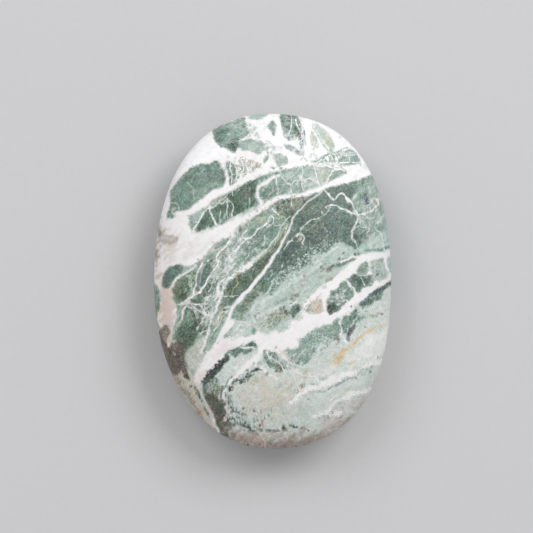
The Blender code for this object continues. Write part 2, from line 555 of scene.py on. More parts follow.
streak(TAUPE, 1, (312.5, 132, 1.5), (314, 136, 1.5))
island(PALE_SAGE, (346, 148), (348, 146.5), (350.5, 148), (352.5, 150.5), (353, 153), (352, 155),
    (350, 153), (348.5, 150.5))
island(PALE_SAGE, (355, 152.5), (357.5, 155), (358, 157.5), (356, 158.5), (354, 156))
island(PALE_SEA, (356, 158), (360, 158.5), (360.5, 162), (356.5, 162))
island(SAGE, (313, 163), (318, 158.5), (325, 155), (333, 152), (341, 149.5), (348, 147), (354, 151),
    (359, 158), (361, 163), (352, 164.5), (344, 166), (337, 164.5), (328, 163.5), (320, 163.5), soft=3)
tint(BLUE_GREY, 328, 160, 8, 4, 0.8)
tint(PALE_SEA, 345, 157, 9, 6, 0.8)
tint(GREEN, 338, 161, 6, 2.5, 0.6)
dots(SAGE, 1.1, (361, 165), (305.5, 159))

rock(DEEP, 2, (296, 123.5), (301, 121), (304.5, 124), (305, 132), (304, 138.5), (300, 140), (297, 134))
rock((98, 126, 112), 2, (282, 116), (290, 112), (297, 116), (299, 126), (296, 134), (290, 134), (283, 129))
hair(PALE_MINT, 1.2, (300, 122), (301.5, 129), (301, 138))
hair(MILK, 1.1, (303, 128), (303.5, 136))
tint(PALE_BLUE, 290, 142, 8, 4, 0.8)
cloud(vein_tone, (214, 222, 224), 279, 147, 9, 8, 0.9)
cloud(vein_tone, (220, 226, 224), 262, 128, 10, 12, 0.8)
cloud(vein_tone, (222, 226, 222), 250, 168, 16, 8, 0.9)
hair(MILK, 1.0, (315, 164), (325, 157.5), (337, 153), (350, 148))
hair(MILK, 0.9, (316, 165), (330, 161.5), (344, 156), (358, 155.5))
hair(MILK, 1.1, (320, 166), (335, 163), (350, 162.5), (361, 161.5))
hair(PALE_MINT, 0.8, (322, 160), (333, 158.5), (347, 152.5), (354, 153))
hair(MILK, 1.0, (333, 152), (337, 158), (339, 165))
hair(MILK, 1.0, (326, 156), (330, 163))
hair(MILK, 1.0, (345, 149), (348, 156), (350, 163))
sprinkle((96, 122, 118), 30, 336, 158.5, 18, 4, turn=18, radius=0.8)
sprinkle(SAGE, 40, 254, 131, 8, 9, strength=0.7)
sprinkle(SAGE, 22, 268, 148, 6, 8, strength=0.7)
sprinkle(PALE_SAGE, 24, 310, 158, 12, 8, radius=0.8, strength=0.8)
streak((150, 146, 134), 1, (284, 171, 1), (292, 165, 1.2), (302, 160, 1))

# The white of the head is painted brighter than the white elsewhere, at its right and its upper left:
# painted highlight, where the lamps fall strongest on the head.
cloud(vein_tone, (250, 250, 251), 330, 140, 110, 60, turn=-25)
cloud(vein_tone, (246, 246, 248), 205, 150, 60, 34, 0.9, turn=35)

# The big green piece at the left, and the broken bits beside it.
island(GREEN, (170.3, 190), (172, 187.5), (175.5, 184.5), (178.5, 180), (181, 177), (184.5, 173),
    (188, 170), (191, 167.5), (195, 166), (198, 164.5), (201, 163), (206, 163.5), (210, 163.5),
    (213, 161.5), (218, 160.5), (220, 162), (222.5, 167), (225, 171), (226, 175), (226, 178), (225, 182),
    (224, 186), (220, 188.5), (214, 190), (209, 193), (205, 197), (201, 200), (198, 203.5), (194, 206),
    (190, 209), (186, 211), (181, 212), (178, 213), (174, 213), (175, 216), (173, 219), (169, 219),
    (166.5, 218), (167, 212), (168.5, 208), (170, 203), (170, 196))
tint((140, 160, 148), 192, 192, 30, 26, 0.7)
tint(SEA, 182, 200, 14, 16, 0.5)
tint(SLATE, 212, 174, 12, 10, 0.35)
tint(PALE_SAGE, 214, 184, 8, 5, 0.6)
tint(SLATE, 194, 179, 4, 5, 0.5)
tint(SLATE, 203, 180, 4, 4, 0.5)
dots(PALE_SAGE, 1.2, (182.5, 177.5))
dots(BEIGE, 1.0, (172, 208), (174.5, 208.5))
hair(PALE_SAGE, 1.1, (187, 181), (190, 185), (193, 189), (193.5, 195), (194, 200))
hair(MINT, 1.3, (171, 202), (176, 203.5), (179, 206), (180, 210))
hair(MINT, 1.3, (171, 210), (175, 215))
island(SAGE, (227, 172.5), (230, 171.5), (233, 172), (234, 176), (233.5, 180), (232.5, 183.5),
    (229.5, 184.5), (228.3, 181), (227, 176))
tint(GREEN, 231, 181, 4, 5, 0.7)
dots(GREEN, 1.7, (233, 166), (243, 167.5))
island(GREEN, (232, 170.5), (234.5, 172), (238, 176.5), (236.8, 178), (234, 174.5))
dots(DEEP, 1.1, (238.3, 167.3))
dots(TAUPE, 1.0, (237, 163.5), (251, 166.5), (251.2, 168.5))
dots(OLIVE, 1.0, (218.5, 160.3), (220.3, 162.8), (222, 164.5), (224, 167.5), (225, 169.5))
island(BEIGE, (225.5, 162), (229, 160.5), (231.5, 163), (230, 167), (226.5, 166), soft=3)
dots(BLUE_GREY, 1.3, (236, 179), (236.3, 181.5), (238.5, 177.5))
island(GREEN, (225, 166), (229, 162.5), (238, 163), (240, 172), (238, 180), (234, 184), (230, 186),
    (228.5, 179), (227.5, 172), fray=1.2)
island((186, 184, 170), (238, 162), (246, 159), (255, 160), (262, 165), (257, 170), (248, 174), (242, 177),
    (239, 171), soft=3, fray=3.2)
sprinkle((148, 148, 134), 34, 248, 166, 12, 7, turn=10, radius=0.6)
sprinkle(GREEN, 24, 242, 167, 10, 8, turn=10)
sprinkle(MILK, 30, 248, 168, 13, 8, turn=10, radius=0.8)
hair(WHITE, 1.3, (231, 161), (230, 168), (232, 175), (231.5, 185))
hair(WHITE, 1.4, (236.5, 159), (235, 165), (237.5, 172), (236, 183))
hair(WHITE, 1.1, (241.5, 162), (243, 170), (240.5, 180))
hair(WHITE, 1.5, (248, 157), (245.5, 164), (248.5, 171), (246, 178))
hair(WHITE, 0.9, (252, 162), (250.5, 168), (254, 174))
dots(SAGE, 1.3, (256.5, 166.5), (271.5, 168), (276.5, 168))
dots(MINT, 1.5, (228, 156), (236, 158), (246, 159), (252, 160), (262, 167), (249, 172))

# The first long vein, the green lens under it, and the chips and cells beside that.
vein((178, 214, 6), (190, 212, 5), (197, 207, 7), (204, 202.5, 8), (212, 196.5, 6), (220, 192, 6),
    (228, 188.5, 6), (235, 186.5, 5), (242, 182.5, 4), (250, 178.5, 4), (258, 175.5, 3.5), (266, 172, 4),
    (275, 169.5, 4), (285, 167.5, 3.5), (305, 163, 3.5))
vein((219, 160, 1.2), (222, 165.5, 1.3), (225, 170, 1.4), (227, 175, 1.8), (228, 180, 2.2), (228, 186, 3),
    glow=1.2, fray=0.4)
rock((66, 96, 78), 2, (210, 209), (214, 205.5), (218, 203), (223, 201), (225, 199.5), (226, 196),
    (228, 193), (232, 191), (235, 189), (240, 186), (246, 183), (251, 180.5), (255, 179), (258, 182),
    (257.5, 185), (256, 188), (255.5, 192), (256, 197), (254, 203), (252, 208), (250, 211), (247, 213),
    (243, 215), (238, 217), (233, 217.5), (230, 219.5), (227, 221), (225, 223), (222, 225), (218, 225.5),
    (215, 226), (212, 227), (208, 230), (204, 231), (200, 233), (198, 233), (196, 230), (198, 226),
    (200, 221), (202, 217), (205, 212))
tint((96, 104, 98), 248, 192, 12, 12, 0.9)
streak(PALE_MINT, 5, (200, 234.5, 2), (212, 229.5, 2), (222, 225.5, 2), (232, 220.5, 2), (243, 216, 2),
    (252, 211, 1), (258, 206, 1), strength=0.7)
tint(DEEP, 230, 208, 2.5, 9, 0.9)
tint(DEEP, 237.5, 207, 3, 4, 0.7)
tint(BROWN, 247.5, 197, 4, 4, 0.6)
tint(BROWN, 243, 192, 6, 4, 0.4)
tint(OLIVE, 245.5, 203.5, 3, 3, 0.6)
tint(SLATE, 254.5, 182.5, 4, 3, 0.5)
tint(GREEN, 216, 214, 10, 8, 0.5)
dots(SEA, 0.8, (256.5, 183))
rock((170, 176, 160), 2, (205, 207), (216, 198.5), (225, 193.5), (226, 197), (222, 201), (212, 205.5),
    (207, 209), strength=0.8)
sprinkle((204, 182, 164), 16, 216, 201, 12, 3, turn=38, radius=0.8)
sprinkle((120, 138, 120), 14, 216, 202, 12, 4, turn=38)
sprinkle(PALE_MINT, 18, 218, 201, 13, 4, turn=38, radius=0.8)
hair(PALE_MINT, 1.2, (209, 205), (213, 208), (218, 203), (222, 204), (226, 199))
sprinkle((150, 158, 138), 26, 240, 188, 22, 3, turn=31, radius=0.6)
dots(TAUPE, 1.2, (213, 202), (222, 197), (217, 200))
hair(WHITE, 2.0, (208.5, 208), (211, 213), (213.5, 219), (216, 225))
hair(MINT, 1.0, (220.5, 210), (220.3, 222))
hair(PALE_MINT, 1.3, (227.5, 198), (227.3, 210), (227.8, 218))
hair(PALE_MINT, 1.2, (229, 200), (233, 206), (232, 217))
hair(PALE_SAGE, 1.1, (249.5, 198), (248.5, 212))
hair(PALE_MINT, 1.0, (232.5, 191), (232.8, 196))
hair(WHITE, 1.5, (205, 211), (202, 215), (199, 222), (195, 226), (192.5, 232))
rock(PALE_SAGE, 1.5, (192, 214), (195, 212.5), (200, 211.5), (202, 214), (200, 222), (193, 222), (191, 216))
streak(SAGE, 1, (191.5, 216, 1.5), (191.5, 224, 1.5))
dots(MOSS, 0.8, (192.2, 227), (192, 230))
dots(SAGE, 1.5, (186.5, 219.5))
rock(GREEN, 1.5, (260, 188), (263, 185.5), (267, 182.5), (271, 180), (275, 178.5), (276.5, 181),
    (275.5, 185), (275, 190), (276, 193), (273, 197), (270, 199), (266, 200), (263, 201), (261, 198),
    (259.5, 194))
tint(SEA, 268, 185, 4, 3, 0.6)
tint(OLIVE, 272, 193, 4, 4, 0.5)
tint(MINT, 266, 201, 6, 4, 0.8)
dots(PINK, 0.8, (263.3, 189.5))
dots(DARK, 1.3, (276.8, 173.3), (266, 177.8))
dots(MOSS, 1.6, (262, 178.5))
streak(DARK, 1, (268.5, 172.8, 1.6), (271, 171.8, 1.6))
dots(MOSS, 1.0, (273.5, 168.5), (281, 168))
rock(SAGE, 1.5, (279, 176), (284, 175), (287, 180), (290, 186), (290, 195), (280, 195.5), (278, 190),
    (277.5, 182))
tint(MOSS, 282.5, 182.5, 3, 3, 0.8)
tint(SLATE, 289.5, 182, 2, 3, 0.8)
rock(SAGE, 1.5, (291, 174), (298, 172), (304, 177), (303, 190), (298, 194), (292.5, 193.5))
tint(TAUPE, 298, 188, 3, 3, 0.6)
rock((170, 184, 168), 1.5, (315, 167.5), (320, 167), (327, 167.5), (333.5, 168.5), (331.5, 172),
    (329.5, 176), (327.5, 180), (325, 183), (321, 184), (319.5, 181), (317, 177), (315.5, 173))
dots(SLATE, 1.0, (332, 168.5))
rock(SAGE, 1.5, (334.5, 170.5), (340, 171.5), (342.5, 173), (343.5, 177), (342, 178.5), (337, 179),
    (331, 178), (332, 175))
rock(PALE_SAGE, 1.5, (302, 169), (306, 167), (310, 165), (313, 166), (314, 170), (313, 174), (315, 178),
    (311, 177.5), (307, 176), (303, 179.5), (301, 179))
tint(SAGE, 302.5, 176, 4, 4, 0.7)
rock(PALE_SAGE, 1.5, (304, 181), (308, 180), (313, 181), (317, 184), (320, 187), (317, 189), (312, 190.5),
    (308, 191), (304.5, 189), (303, 185))
tint(BEIGE, 329, 181, 3, 2.5, 0.7)
vein((280, 174.5, 2), (275, 177, 3), (270, 179.5, 3), (265, 183, 3), (260, 186, 2.8), (257.5, 189, 2.6),
    (257, 194, 2.5), (258, 198, 2.5), (261, 202, 2.5), (262.5, 206, 2.5))
hair(PALE_MINT, 1.2, (277, 177), (276.5, 185), (278, 190), (277, 195))
hair(PALE_MINT, 1.3, (287, 183), (291, 186), (291.5, 192), (292, 198), (291.5, 205))
hair(PALE_MINT, 1.0, (281, 176), (286, 181), (287, 184))
hair(WHITE, 1.1, (314, 165), (315.5, 175), (318, 181), (321, 186), (324, 190))
hair(WHITE, 2.0, (314, 166), (320, 165.8), (328, 166.2), (334, 167.5), (345, 170))
hair(WHITE, 1.5, (334, 169.5), (331.5, 173.5), (329, 178), (326, 184))
hair(WHITE, 1.6, (304, 180), (308, 178.5), (313, 179.5), (317, 182.5), (320, 186))
hair(MILK, 1.2, (302, 166), (303, 172), (301.5, 180), (303, 190))

# The second long vein, wide at the left and opening into the white at the right.
rock(PALE_MINT, 5, (196, 237), (200, 231), (212, 227), (226, 219), (240, 215), (252, 209), (262, 205),
    (262, 214), (240, 226), (215, 236), (200, 240))
white((120, 218), (160, 219), (171, 219.5), (177, 215.5), (184, 214.5), (188, 217.5), (189.5, 226),
    (192, 233), (198, 234.5), (206, 232), (215, 227.5), (226, 223.5), (236, 218.5), (248, 214.5),
    (257, 209), (266, 202.5), (275, 199.5), (276, 202), (268, 208), (258, 214), (248, 220), (238, 226),
    (232, 235), (222, 240), (212, 246), (204, 256), (197, 263), (186, 266), (180, 263), (172, 266),
    (165, 268), (157, 262), (120, 262), glow=5)
vein((275, 200, 4), (280, 197.5, 4), (290, 196.5, 4), (300, 195.5, 4), (308, 193, 4), (315, 190.5, 4),
    (322, 188.5, 4), (326, 186, 4), (331, 184, 5), (338, 181.5, 6), (346, 178, 9))
cloud(vein_tone, BEIGE, 168, 246, 16, 20, 0.75)
# Taupe and grey-brown along the upper left rim: painted shade on the white, where the rim turns from the
# light.
cloud(vein_tone, TAUPE, 160, 226, 6, 12, 0.7)
cloud(vein_tone, (150, 134, 122), 156, 255, 7, 22, 0.85)
cloud(vein_tone, (220, 215, 215), 190, 248, 34, 14, 0.8, turn=20)
stain((150, 144, 138), 3.5, (159, 233, 3), (163, 235.5, 2.5), (168, 236, 2), (173, 237.5, 2),
    (177, 239, 1.5), strength=0.8)
stain((146, 140, 134), 3, (160, 240, 2), (164, 242, 2), (170, 242, 2), (176, 240, 1.5), strength=0.75)
stain((196, 188, 182), 5, (160, 237, 5), (168, 239, 4), (174, 239, 2), strength=0.8)
# A taupe band on the upper left rim: painted shade.
stain(TAUPE, 2, (158, 217, 3), (157, 226, 4), (160, 235, 3))
dots(BEIGE, 1.5, (213, 243.5))

sprinkle((176, 158, 140), 26, 243, 226, 18, 3.5, turn=42)
sprinkle((170, 150, 134), 20, 266, 209, 14, 3, turn=36)
sprinkle((150, 124, 104), 26, 300, 198, 28, 2.5, turn=12, radius=0.6)
sprinkle((156, 150, 130), 24, 205, 260, 18, 3, turn=28)

# The broken ground under it, with splinters of green and fine white threads.
rock(GREEN, 1.3, (230, 238), (228, 242), (225, 245.5), (223, 248), (219, 248.5), (218, 246.5), (221, 243.5),
    (224, 240), (228, 236.5))
rock(SAGE, 1.3, (239, 236), (240, 240), (239, 244), (237, 247.5), (234, 250), (231, 252), (230.5, 249),
    (231.5, 245), (233, 240), (235, 237))
dots(TAUPE, 2.0, (236.5, 246))
streak(MOSS, 1.2, (240.5, 227, 2.5), (240, 230, 2.5), (241, 233, 2))
dots(DARK, 0.9, (244.3, 228.5), (245.5, 230.5), (216.5, 248.5))
dots(GREEN, 1.6, (242, 247.5), (214, 252))
dots(OLIVE, 1.6, (250, 242), (249.5, 245))
streak(GREEN, 1, (207, 260, 2), (210, 257, 2), (213, 255.5, 1.8))
rock(GREEN, 1.5, (220, 256), (228, 255.5), (228, 262), (220, 263))
dots(DARK, 1.2, (223, 261))
dots(BEIGE, 1.2, (223.5, 251.5), (226.5, 251.5))
rock(GREEN, 3, (250, 229), (262, 226), (276, 217), (284, 219), (279, 232), (270, 244), (258, 254),
    (246, 260), (238, 258), (244, 246), (247, 238))
tint(SAGE, 265, 236, 12, 9, 0.7, turn=40)
tint(PALE_MINT, 259, 251, 6, 5, 0.8)
tint(PALE_OLIVE, 261, 219, 5, 5, 0.9)
tint(SAGE, 244, 256, 8, 5, 0.7)
dots(DARK, 0.9, (252, 221))
rock((126, 126, 110), 4, (274, 204), (288, 201), (302, 199), (303, 204), (294, 210), (278, 212),
    strength=0.75)
tint((118, 110, 100), 292, 207, 7, 4, 0.7)
sprinkle(DARK, 26, 287, 205, 16, 6, turn=10)
sprinkle(TAUPE, 20, 289, 206, 14, 5, turn=10)
sprinkle(SAGE, 24, 282, 207, 12, 6, turn=10, radius=0.8)
dots(DEEP, 1.0, (286.5, 207.3), (278, 206.5), (283.5, 202), (277, 209))
dots(UMBER, 1.1, (289.5, 200), (303, 197))
dots(INK, 1.5, (305, 202))
dots(SLATE, 1.1, (312.5, 198.5), (315, 192.7))
hair(WHITE, 1.5, (269, 216), (268.5, 220), (266, 224), (263, 226.5), (258, 229), (256, 232), (252.5, 235.5),
    (250, 238), (246, 240))
hair(WHITE, 1.2, (271, 215), (274, 218), (273.5, 222), (271, 225), (267, 227.5))
hair(WHITE, 1.5, (272, 209), (276, 213), (278.5, 215))
hair(PALE_MINT, 1.3, (275, 226), (283, 225))
hair(PALE_MINT, 1.1, (264.5, 235), (264.5, 243), (263, 246))
hair(WHITE, 1.8, (234, 235), (231, 238), (228.5, 242), (225.5, 246), (223, 249), (219, 252.5), (216.5, 256),
    (216, 260))
hair(WHITE, 1.6, (246, 240), (242, 243), (239.5, 246), (237.5, 249), (234, 252), (230, 255), (229, 258))
hair(WHITE, 1.4, (247, 229.5), (244, 232.5), (241.5, 235), (243.5, 238), (246, 239))
streak(BROWN, 1.2, (258, 233, 2), (254, 237, 2))
dots(KHAKI, 1.5, (280.5, 216.5))
rock(OLIVE, 1.5, (287, 221), (284.5, 224), (282.5, 229), (280.5, 233), (279, 237), (276, 241), (272, 246),
    (269, 250), (267.5, 253), (272, 252), (275, 251), (277, 248.5), (280, 245), (282.5, 241), (285, 237),
    (287, 231), (288.5, 226), (288.5, 222))
tint(DARK, 276, 246, 7, 5, 0.8, turn=50)
hair(PALE_MINT, 1.0, (288.5, 222), (286.5, 229), (285, 233))

# The dark ground between the two slanting veins.
rock((78, 100, 84), 2.5, (228, 281), (231, 280), (234, 277.5), (239, 275.5), (244, 273), (249, 269),
    (254, 264), (262, 258), (270, 253), (277, 252), (271, 262), (263, 273), (256, 282), (250, 289),
    (241, 298), (235, 303), (224, 308), (218, 308), (221, 302), (224, 294), (226, 286))
tint(DARK_OLIVE, 262, 264, 9, 8, 0.6, turn=45)
tint(DARK_OLIVE, 238, 281, 7, 6, 0.4)
tint(TAUPE, 256, 270, 3, 3, 0.7)
tint(BEIGE, 259, 258.5, 3.5, 2, 0.9)
dots(DARK, 0.9, (265.5, 257.5), (266, 260.5))
tint(KHAKI, 226.5, 294, 2, 3, 0.8)
tint(PALE_SAGE, 233, 296, 4, 2, 0.8)
hair(KHAKI, 1.2, (238.5, 274), (236.5, 279), (237, 284), (235, 287), (233, 290), (232.5, 294))
rock(GREEN, 1.5, (224.5, 281), (223.5, 286), (222.5, 288.5), (219.5, 287), (221, 284))
rock(SAGE, 2, (238, 301), (247, 298), (247, 310), (238, 312))
rock((104, 124, 108), 2, (222, 297), (230, 300), (234, 305), (230, 310), (224, 318), (219, 323), (219, 311))

# Splinters at the left, between the wide vein and the dark ground.
rock(MOSS, 2, (204, 262), (214, 260), (214, 268), (208, 280), (200, 291), (196, 289), (198, 275))
rock(DARK, 2, (205, 280), (212, 279), (215, 284), (210, 294), (204, 304), (198, 304), (198, 294))
dots(DEEP, 1.3, (208.5, 288.5), (203, 291.5), (208.5, 298), (206.5, 307))
rock((148, 166, 152), 3, (216, 262), (228, 258), (238, 262), (236, 272), (222, 282), (216, 300), (212, 312),
    (208, 300), (214, 282))
tint(CHALK, 229, 267, 9, 13, 0.9, turn=-20)
dots(INK, 1.1, (220.7, 266.3))
dots(BLUE_GREY, 1.0, (223, 267.5), (217, 268), (222, 261.5))
dots(GREEN, 1.3, (221, 271), (222.5, 278))
rock((84, 108, 92), 2.5, (204, 284), (210, 279), (216.5, 283), (216, 293), (214, 301), (210, 309),
    (206, 316), (200, 320), (196, 309), (199, 297))
sprinkle(SAGE, 40, 207, 301, 12, 18, turn=20)
island(MOSS, (163, 281), (163.5, 277), (165, 273), (166.5, 270.5), (169, 270), (170, 268), (173, 268),
    (175.5, 266.5), (178, 265.5), (181, 267), (180.5, 270), (179, 273.5), (178, 274), (175.5, 277),
    (174, 279), (171.5, 281), (170.5, 284), (170, 286), (167, 287.2), (164.5, 286), (163, 284))
tint(SEA, 175, 271, 5, 4, 0.7)
tint(BEIGE, 169, 268, 2.5, 2, 0.8)
rock(SAGE, 1.5, (190, 263), (200, 261), (200, 268), (193, 273), (189, 270))
dots(DARK, 0.9, (190, 273), (193, 272), (197, 263.5), (199.5, 262))
rock((100, 120, 98), 1.5, (174, 284), (174.5, 281), (176, 279), (178, 277.5), (181, 277), (183, 275.5),
    (185.5, 275), (188, 272.5), (189, 271), (195, 273), (195, 277), (195, 281), (194, 285), (191.5, 290),
    (190, 293), (188, 295.5), (186, 298), (183.5, 300), (181, 303), (177.5, 303.5), (175, 302),
    (172.5, 299.5), (171.5, 297), (173, 295), (171, 292), (170.5, 289), (172, 287.5), (174.5, 287))
tint(DARK_OLIVE, 181, 293, 8, 8, 0.6)
tint(BEIGE, 182.5, 277.5, 3, 2, 0.8)
dots(INK, 1.6, (181.5, 295.5))
dots(DEEP, 1.0, (188, 285.5), (185.5, 293.5), (181, 288.5))
white((150, 262), (172, 262), (168, 268), (163, 273), (161, 284), (164, 288), (171, 289), (172, 296),
    (173, 302), (177, 306), (176, 318), (173, 326), (166, 325), (161, 328), (157, 318), (161, 300),
    (159, 287), (155, 283))
stain(PINK, 6, (164, 280, 6), (167, 290, 12), (168, 305, 14), (167, 322, 14), (169, 340, 8))
stain((224, 192, 162), 6, (160, 303, 1), (161, 312, 3), (163, 321, 2), strength=0.7)
# Beige at the left rim: painted shade on the white.
cloud(vein_tone, BEIGE, 157, 270, 4, 12, 0.8)
rock(SAGE, 1.3, (155, 284), (157, 287), (159.5, 288), (161, 293), (162, 298), (161.5, 304), (160.5, 310),
    (159, 330), (140, 330), (140, 284))
rock(GREEN, 3, (150, 287), (156, 288), (158.5, 300), (157, 330), (140, 330))
dots(DARK, 0.9, (157, 293), (159, 301))
vein((171, 288, 2.4), (173, 284, 2), (176, 279.8, 2), (180.5, 276, 2), (186, 273, 1.8), (191, 269.5, 1.8),
    (196, 265.5, 2), glow=1.5, fray=0.4)
hair(WHITE, 1.7, (203, 262), (200, 268), (198, 272), (196.5, 277), (196.5, 282), (195.5, 287), (193.5, 292),
    (191, 296), (188, 299), (184, 302), (181, 304))
hair(MILK, 1.5, (202, 289.5), (198, 292.5), (194, 295), (191, 297.5))
hair(BLUSH, 2.3, (190, 301), (187, 305), (184, 309), (183, 314), (181.5, 318), (179, 323))
hair(MILK, 1.5, (178, 304), (190, 304), (202, 304))
hair(MILK, 1.5, (190, 307), (194, 309), (198, 310), (200, 309))
hair(WHITE, 2.3, (218.5, 261), (217, 265), (215, 268.5), (212.5, 272), (210.5, 276), (208, 280),
    (205, 284.5), (202.5, 288.5), (200, 292))
hair(MILK, 1.5, (209, 260), (205.5, 264), (203, 267.5), (201, 272))
hair(MILK, 1.5, (209, 296), (206, 300), (203, 304), (200, 306))
hair(MINT, 1.2, (213, 296), (211, 301), (209, 305))
hair(PALE_SAGE, 1.0, (186, 275), (189, 278), (190, 287))
hair(PALE_SAGE, 1.0, (193, 276), (191, 282))
hair(MILK, 1.3, (180, 303.5), (191.5, 303), (203, 305), (211, 301), (216.5, 293))
hair(MILK, 1.3, (190, 303), (197, 309), (205.5, 314.5), (210, 316))
hair(PALE_MINT, 1.1, (187.5, 306.5), (194.5, 312), (197, 319))
hair(PALE_MINT, 1.2, (205.5, 296.5), (204, 302), (205.5, 308), (208.5, 313))
hair(PALE_MINT, 1.2, (211, 294), (209.5, 301), (212.5, 308), (211, 314.5))
hair(MINT, 1.0, (214, 288), (213, 297), (209, 306), (204, 312))
hair(MINT, 1.0, (201, 296), (207, 301), (214, 303))
hair(PALE_MINT, 1.1, (199, 305), (203, 309), (207, 318), (206, 326))
hair(MILK, 1.6, (233, 307.8), (228, 310.5), (221, 313.3), (216.7, 321.7), (214.5, 323.5))
hair(PALE_MINT, 1.2, (228, 311), (222, 318), (219, 325), (214, 331))
hair(PALE_MINT, 0.9, (222, 296.7), (230, 296), (239, 295.5))
hair(PALE_MINT, 1.0, (236, 302), (231, 306), (224, 308), (218, 307))
hair(BLUSH, 1.1, (233, 319.5), (244.5, 322), (255.5, 327), (264, 333.5))
hair(MILK, 1.2, (222, 341), (229, 336), (236, 329), (240, 324))
hair(MILK, 1.2, (227, 341), (234, 336.5), (241, 329.5))
hair(PALE_MINT, 1.0, (232, 341), (239, 336), (244, 330), (248, 326))
hair(PALE_SAGE, 1.0, (186, 276), (188, 284), (185, 292))
hair(MINT, 1.0, (190, 274), (192.5, 282), (190.5, 290))
hair(PALE_SAGE, 1.0, (207, 262), (203, 270), (200, 280), (199, 288))
hair(MINT, 1.1, (221, 262), (219, 270), (214, 277), (212, 285), (208, 292))
hair(PALE_MINT, 1.1, (229, 262), (224, 270), (218, 276), (215, 283))
hair(PALE_MINT, 1.0, (234, 264), (229, 272), (222, 278))
hair(MILK, 0.9, (226, 258), (225, 268), (228, 277))

# The two slanting veins: the long straight one, and its wavering sister on the left.
vein((322, 191, 1.4), (315, 197, 0.9), (310, 200.5, 0.8), (305, 204.5, 1), (300, 209.5, 1.3),
    (297, 212, 1.4), (294.5, 215.5, 1.5), (292.5, 219, 1.6), (291.5, 222, 1.6), (290.5, 226, 1.7),
    (289.5, 229, 1.8), (288, 232.5, 1.9), (286, 236, 1.9), (284, 240, 2), (281.5, 244, 2.1),
    (279.5, 248, 2.2), (277, 251.5, 2.3), (274, 256, 2.6), (271.5, 260, 2.8), (268.5, 265, 3.3),
    (265, 270, 3.5), (261, 275, 3.5), (257, 280, 3.7), (253, 284.5, 3.8), (250, 288, 3.9), (247.5, 291, 4),
    (243.5, 295.5, 4.4), (239, 300.5, 4.5), (235.5, 304, 4.3), (232, 308, 4.2), (230.5, 313, 3.6),
    (229.5, 317, 3.4), (228, 320, 3.8), (226.5, 324, 4.2), (225, 327, 4.2), (223.5, 331, 4.3),
    (221.5, 334, 4), (219, 337, 3), (217.5, 339, 2), (217, 341, 2), glow=1.2, fray=0.12)
white((233.5, 319.5), (229, 321), (225, 326), (221, 332), (217.5, 339), (221.5, 338.5), (226, 333.5),
    (230.5, 328.5), (234, 323), glow=2, fray=0.3)
hair((204, 210, 202), 1.5, (291, 216, 1.1), (288, 218, 1.2), (285.5, 220.5, 1.2), (283.5, 224, 1.3),
    (281.5, 227, 1.4), (280.5, 231, 1.4), (278, 235, 1.5), (275, 239, 1.6), (272, 243, 1.8),
    (269, 247, 2.2), (266, 250.5, 2.4), (262, 254, 2.8), (258, 257, 3.2), (254, 260, 3.4))
hair(PALE_SAGE, 1.0, (288, 222), (284, 229), (280, 237), (275, 245), (269, 252))
vein((262, 254, 0.8), (258, 256.8, 1.2), (255, 258.5, 1.8), (252, 262, 2.2), (248, 265.5, 2.4),
    (245, 268, 2.6), (240, 271.5, 2.4), (236, 274.5, 2.2), (232, 277, 2), (228, 279, 1.8), (226, 281, 1.8),
    glow=3.5, fray=1.3)
vein((226, 281, 1.4), (224.5, 284, 1.1), (224, 288, 1.4), (222.5, 292, 2.2), (221, 296, 2.2),
    (219.5, 301, 2), (217, 306, 2.4), (216, 310, 2), (213.5, 313, 1.9), (211.5, 317, 2), (210.5, 321, 1.6),
    (209.5, 325, 1.6), (209, 329, 1.5), (208.5, 333, 1.5), (207, 337, 1.4), (205.5, 341, 1.5),
    (204, 345, 1.5), (202.5, 349, 1.5), (200.5, 353, 1.4), glow=2.4, fray=0.7)
vein((225, 278, 1.4), (222.5, 281, 1.6), (219.5, 284, 1.6), (218, 287, 2.4), (218, 291, 3.6),
    (217.5, 296, 1.6), (214, 301, 0.8), fray=0.8)

# Hairs and curls in the green field on the right.
hair(WHITE, 2.0, (324, 190, 2), (328, 194, 2.2), (331.5, 198, 2.5), (334.5, 200, 2), (337, 197, 2),
    (339, 194.5, 1.8), (342, 193.3, 1.8), (345, 195.5, 1.5), (347, 199, 2), (348, 202, 2.5))
hair(WHITE, 1.7, (346.5, 196.5), (350, 200), (352.5, 204), (354.5, 208), (356, 212))
hair(WHITE, 1.8, (326, 207.5), (330, 205.5), (336, 205.8), (340, 208), (345, 210), (350, 213), (355, 214.5))
hair(WHITE, 1.8, (376.5, 199.5), (378.5, 202), (378, 206), (375.5, 208), (372, 210), (368, 212.5),
    (362, 213.5), (358, 214.5))
dots(PALE_MINT, 1.6, (377.5, 198.5))
streak((88, 94, 108), 2, (364.5, 194, 2), (366, 199, 3.5), (367.5, 204, 3.5))
dots(SLATE, 1.2, (363.5, 196.5), (368.5, 196.3), (375, 202), (372.5, 205), (377, 197))
dots(BROWN, 1.2, (358.5, 205))
hair(MINT, 1.5, (329, 209), (327, 211.5), (324.5, 214.5), (320, 216.5), (316, 219), (311, 220), (308, 222),
    (305.5, 224.5), (303, 227), (301, 230), (300, 233))
hair(SAGE, 1.1, (324, 214), (318, 222), (309, 229))
tint(OLIVE, 315, 227, 13, 6, 0.6, turn=15)
dots(DARK_OLIVE, 1.6, (311.5, 227.5), (318.5, 226))
dots(MINT, 0.8, (327.5, 231), (327.5, 235), (314.5, 250), (319.5, 253), (327.5, 252), (322.5, 212.5),
    (340, 242.5))
hair(SAGE, 1.0, (309.5, 243), (309.5, 255))
dots(DARK, 0.9, (343.5, 253.5), (348.5, 244.5), (339, 259.5), (343, 260), (290.5, 231.5), (288.5, 238))
hair(BLUSH, 1.3, (288, 243), (289, 241.5), (292.5, 241), (292, 239))
hair(PALE_SAGE, 1.4, (295, 236), (297, 233.5))
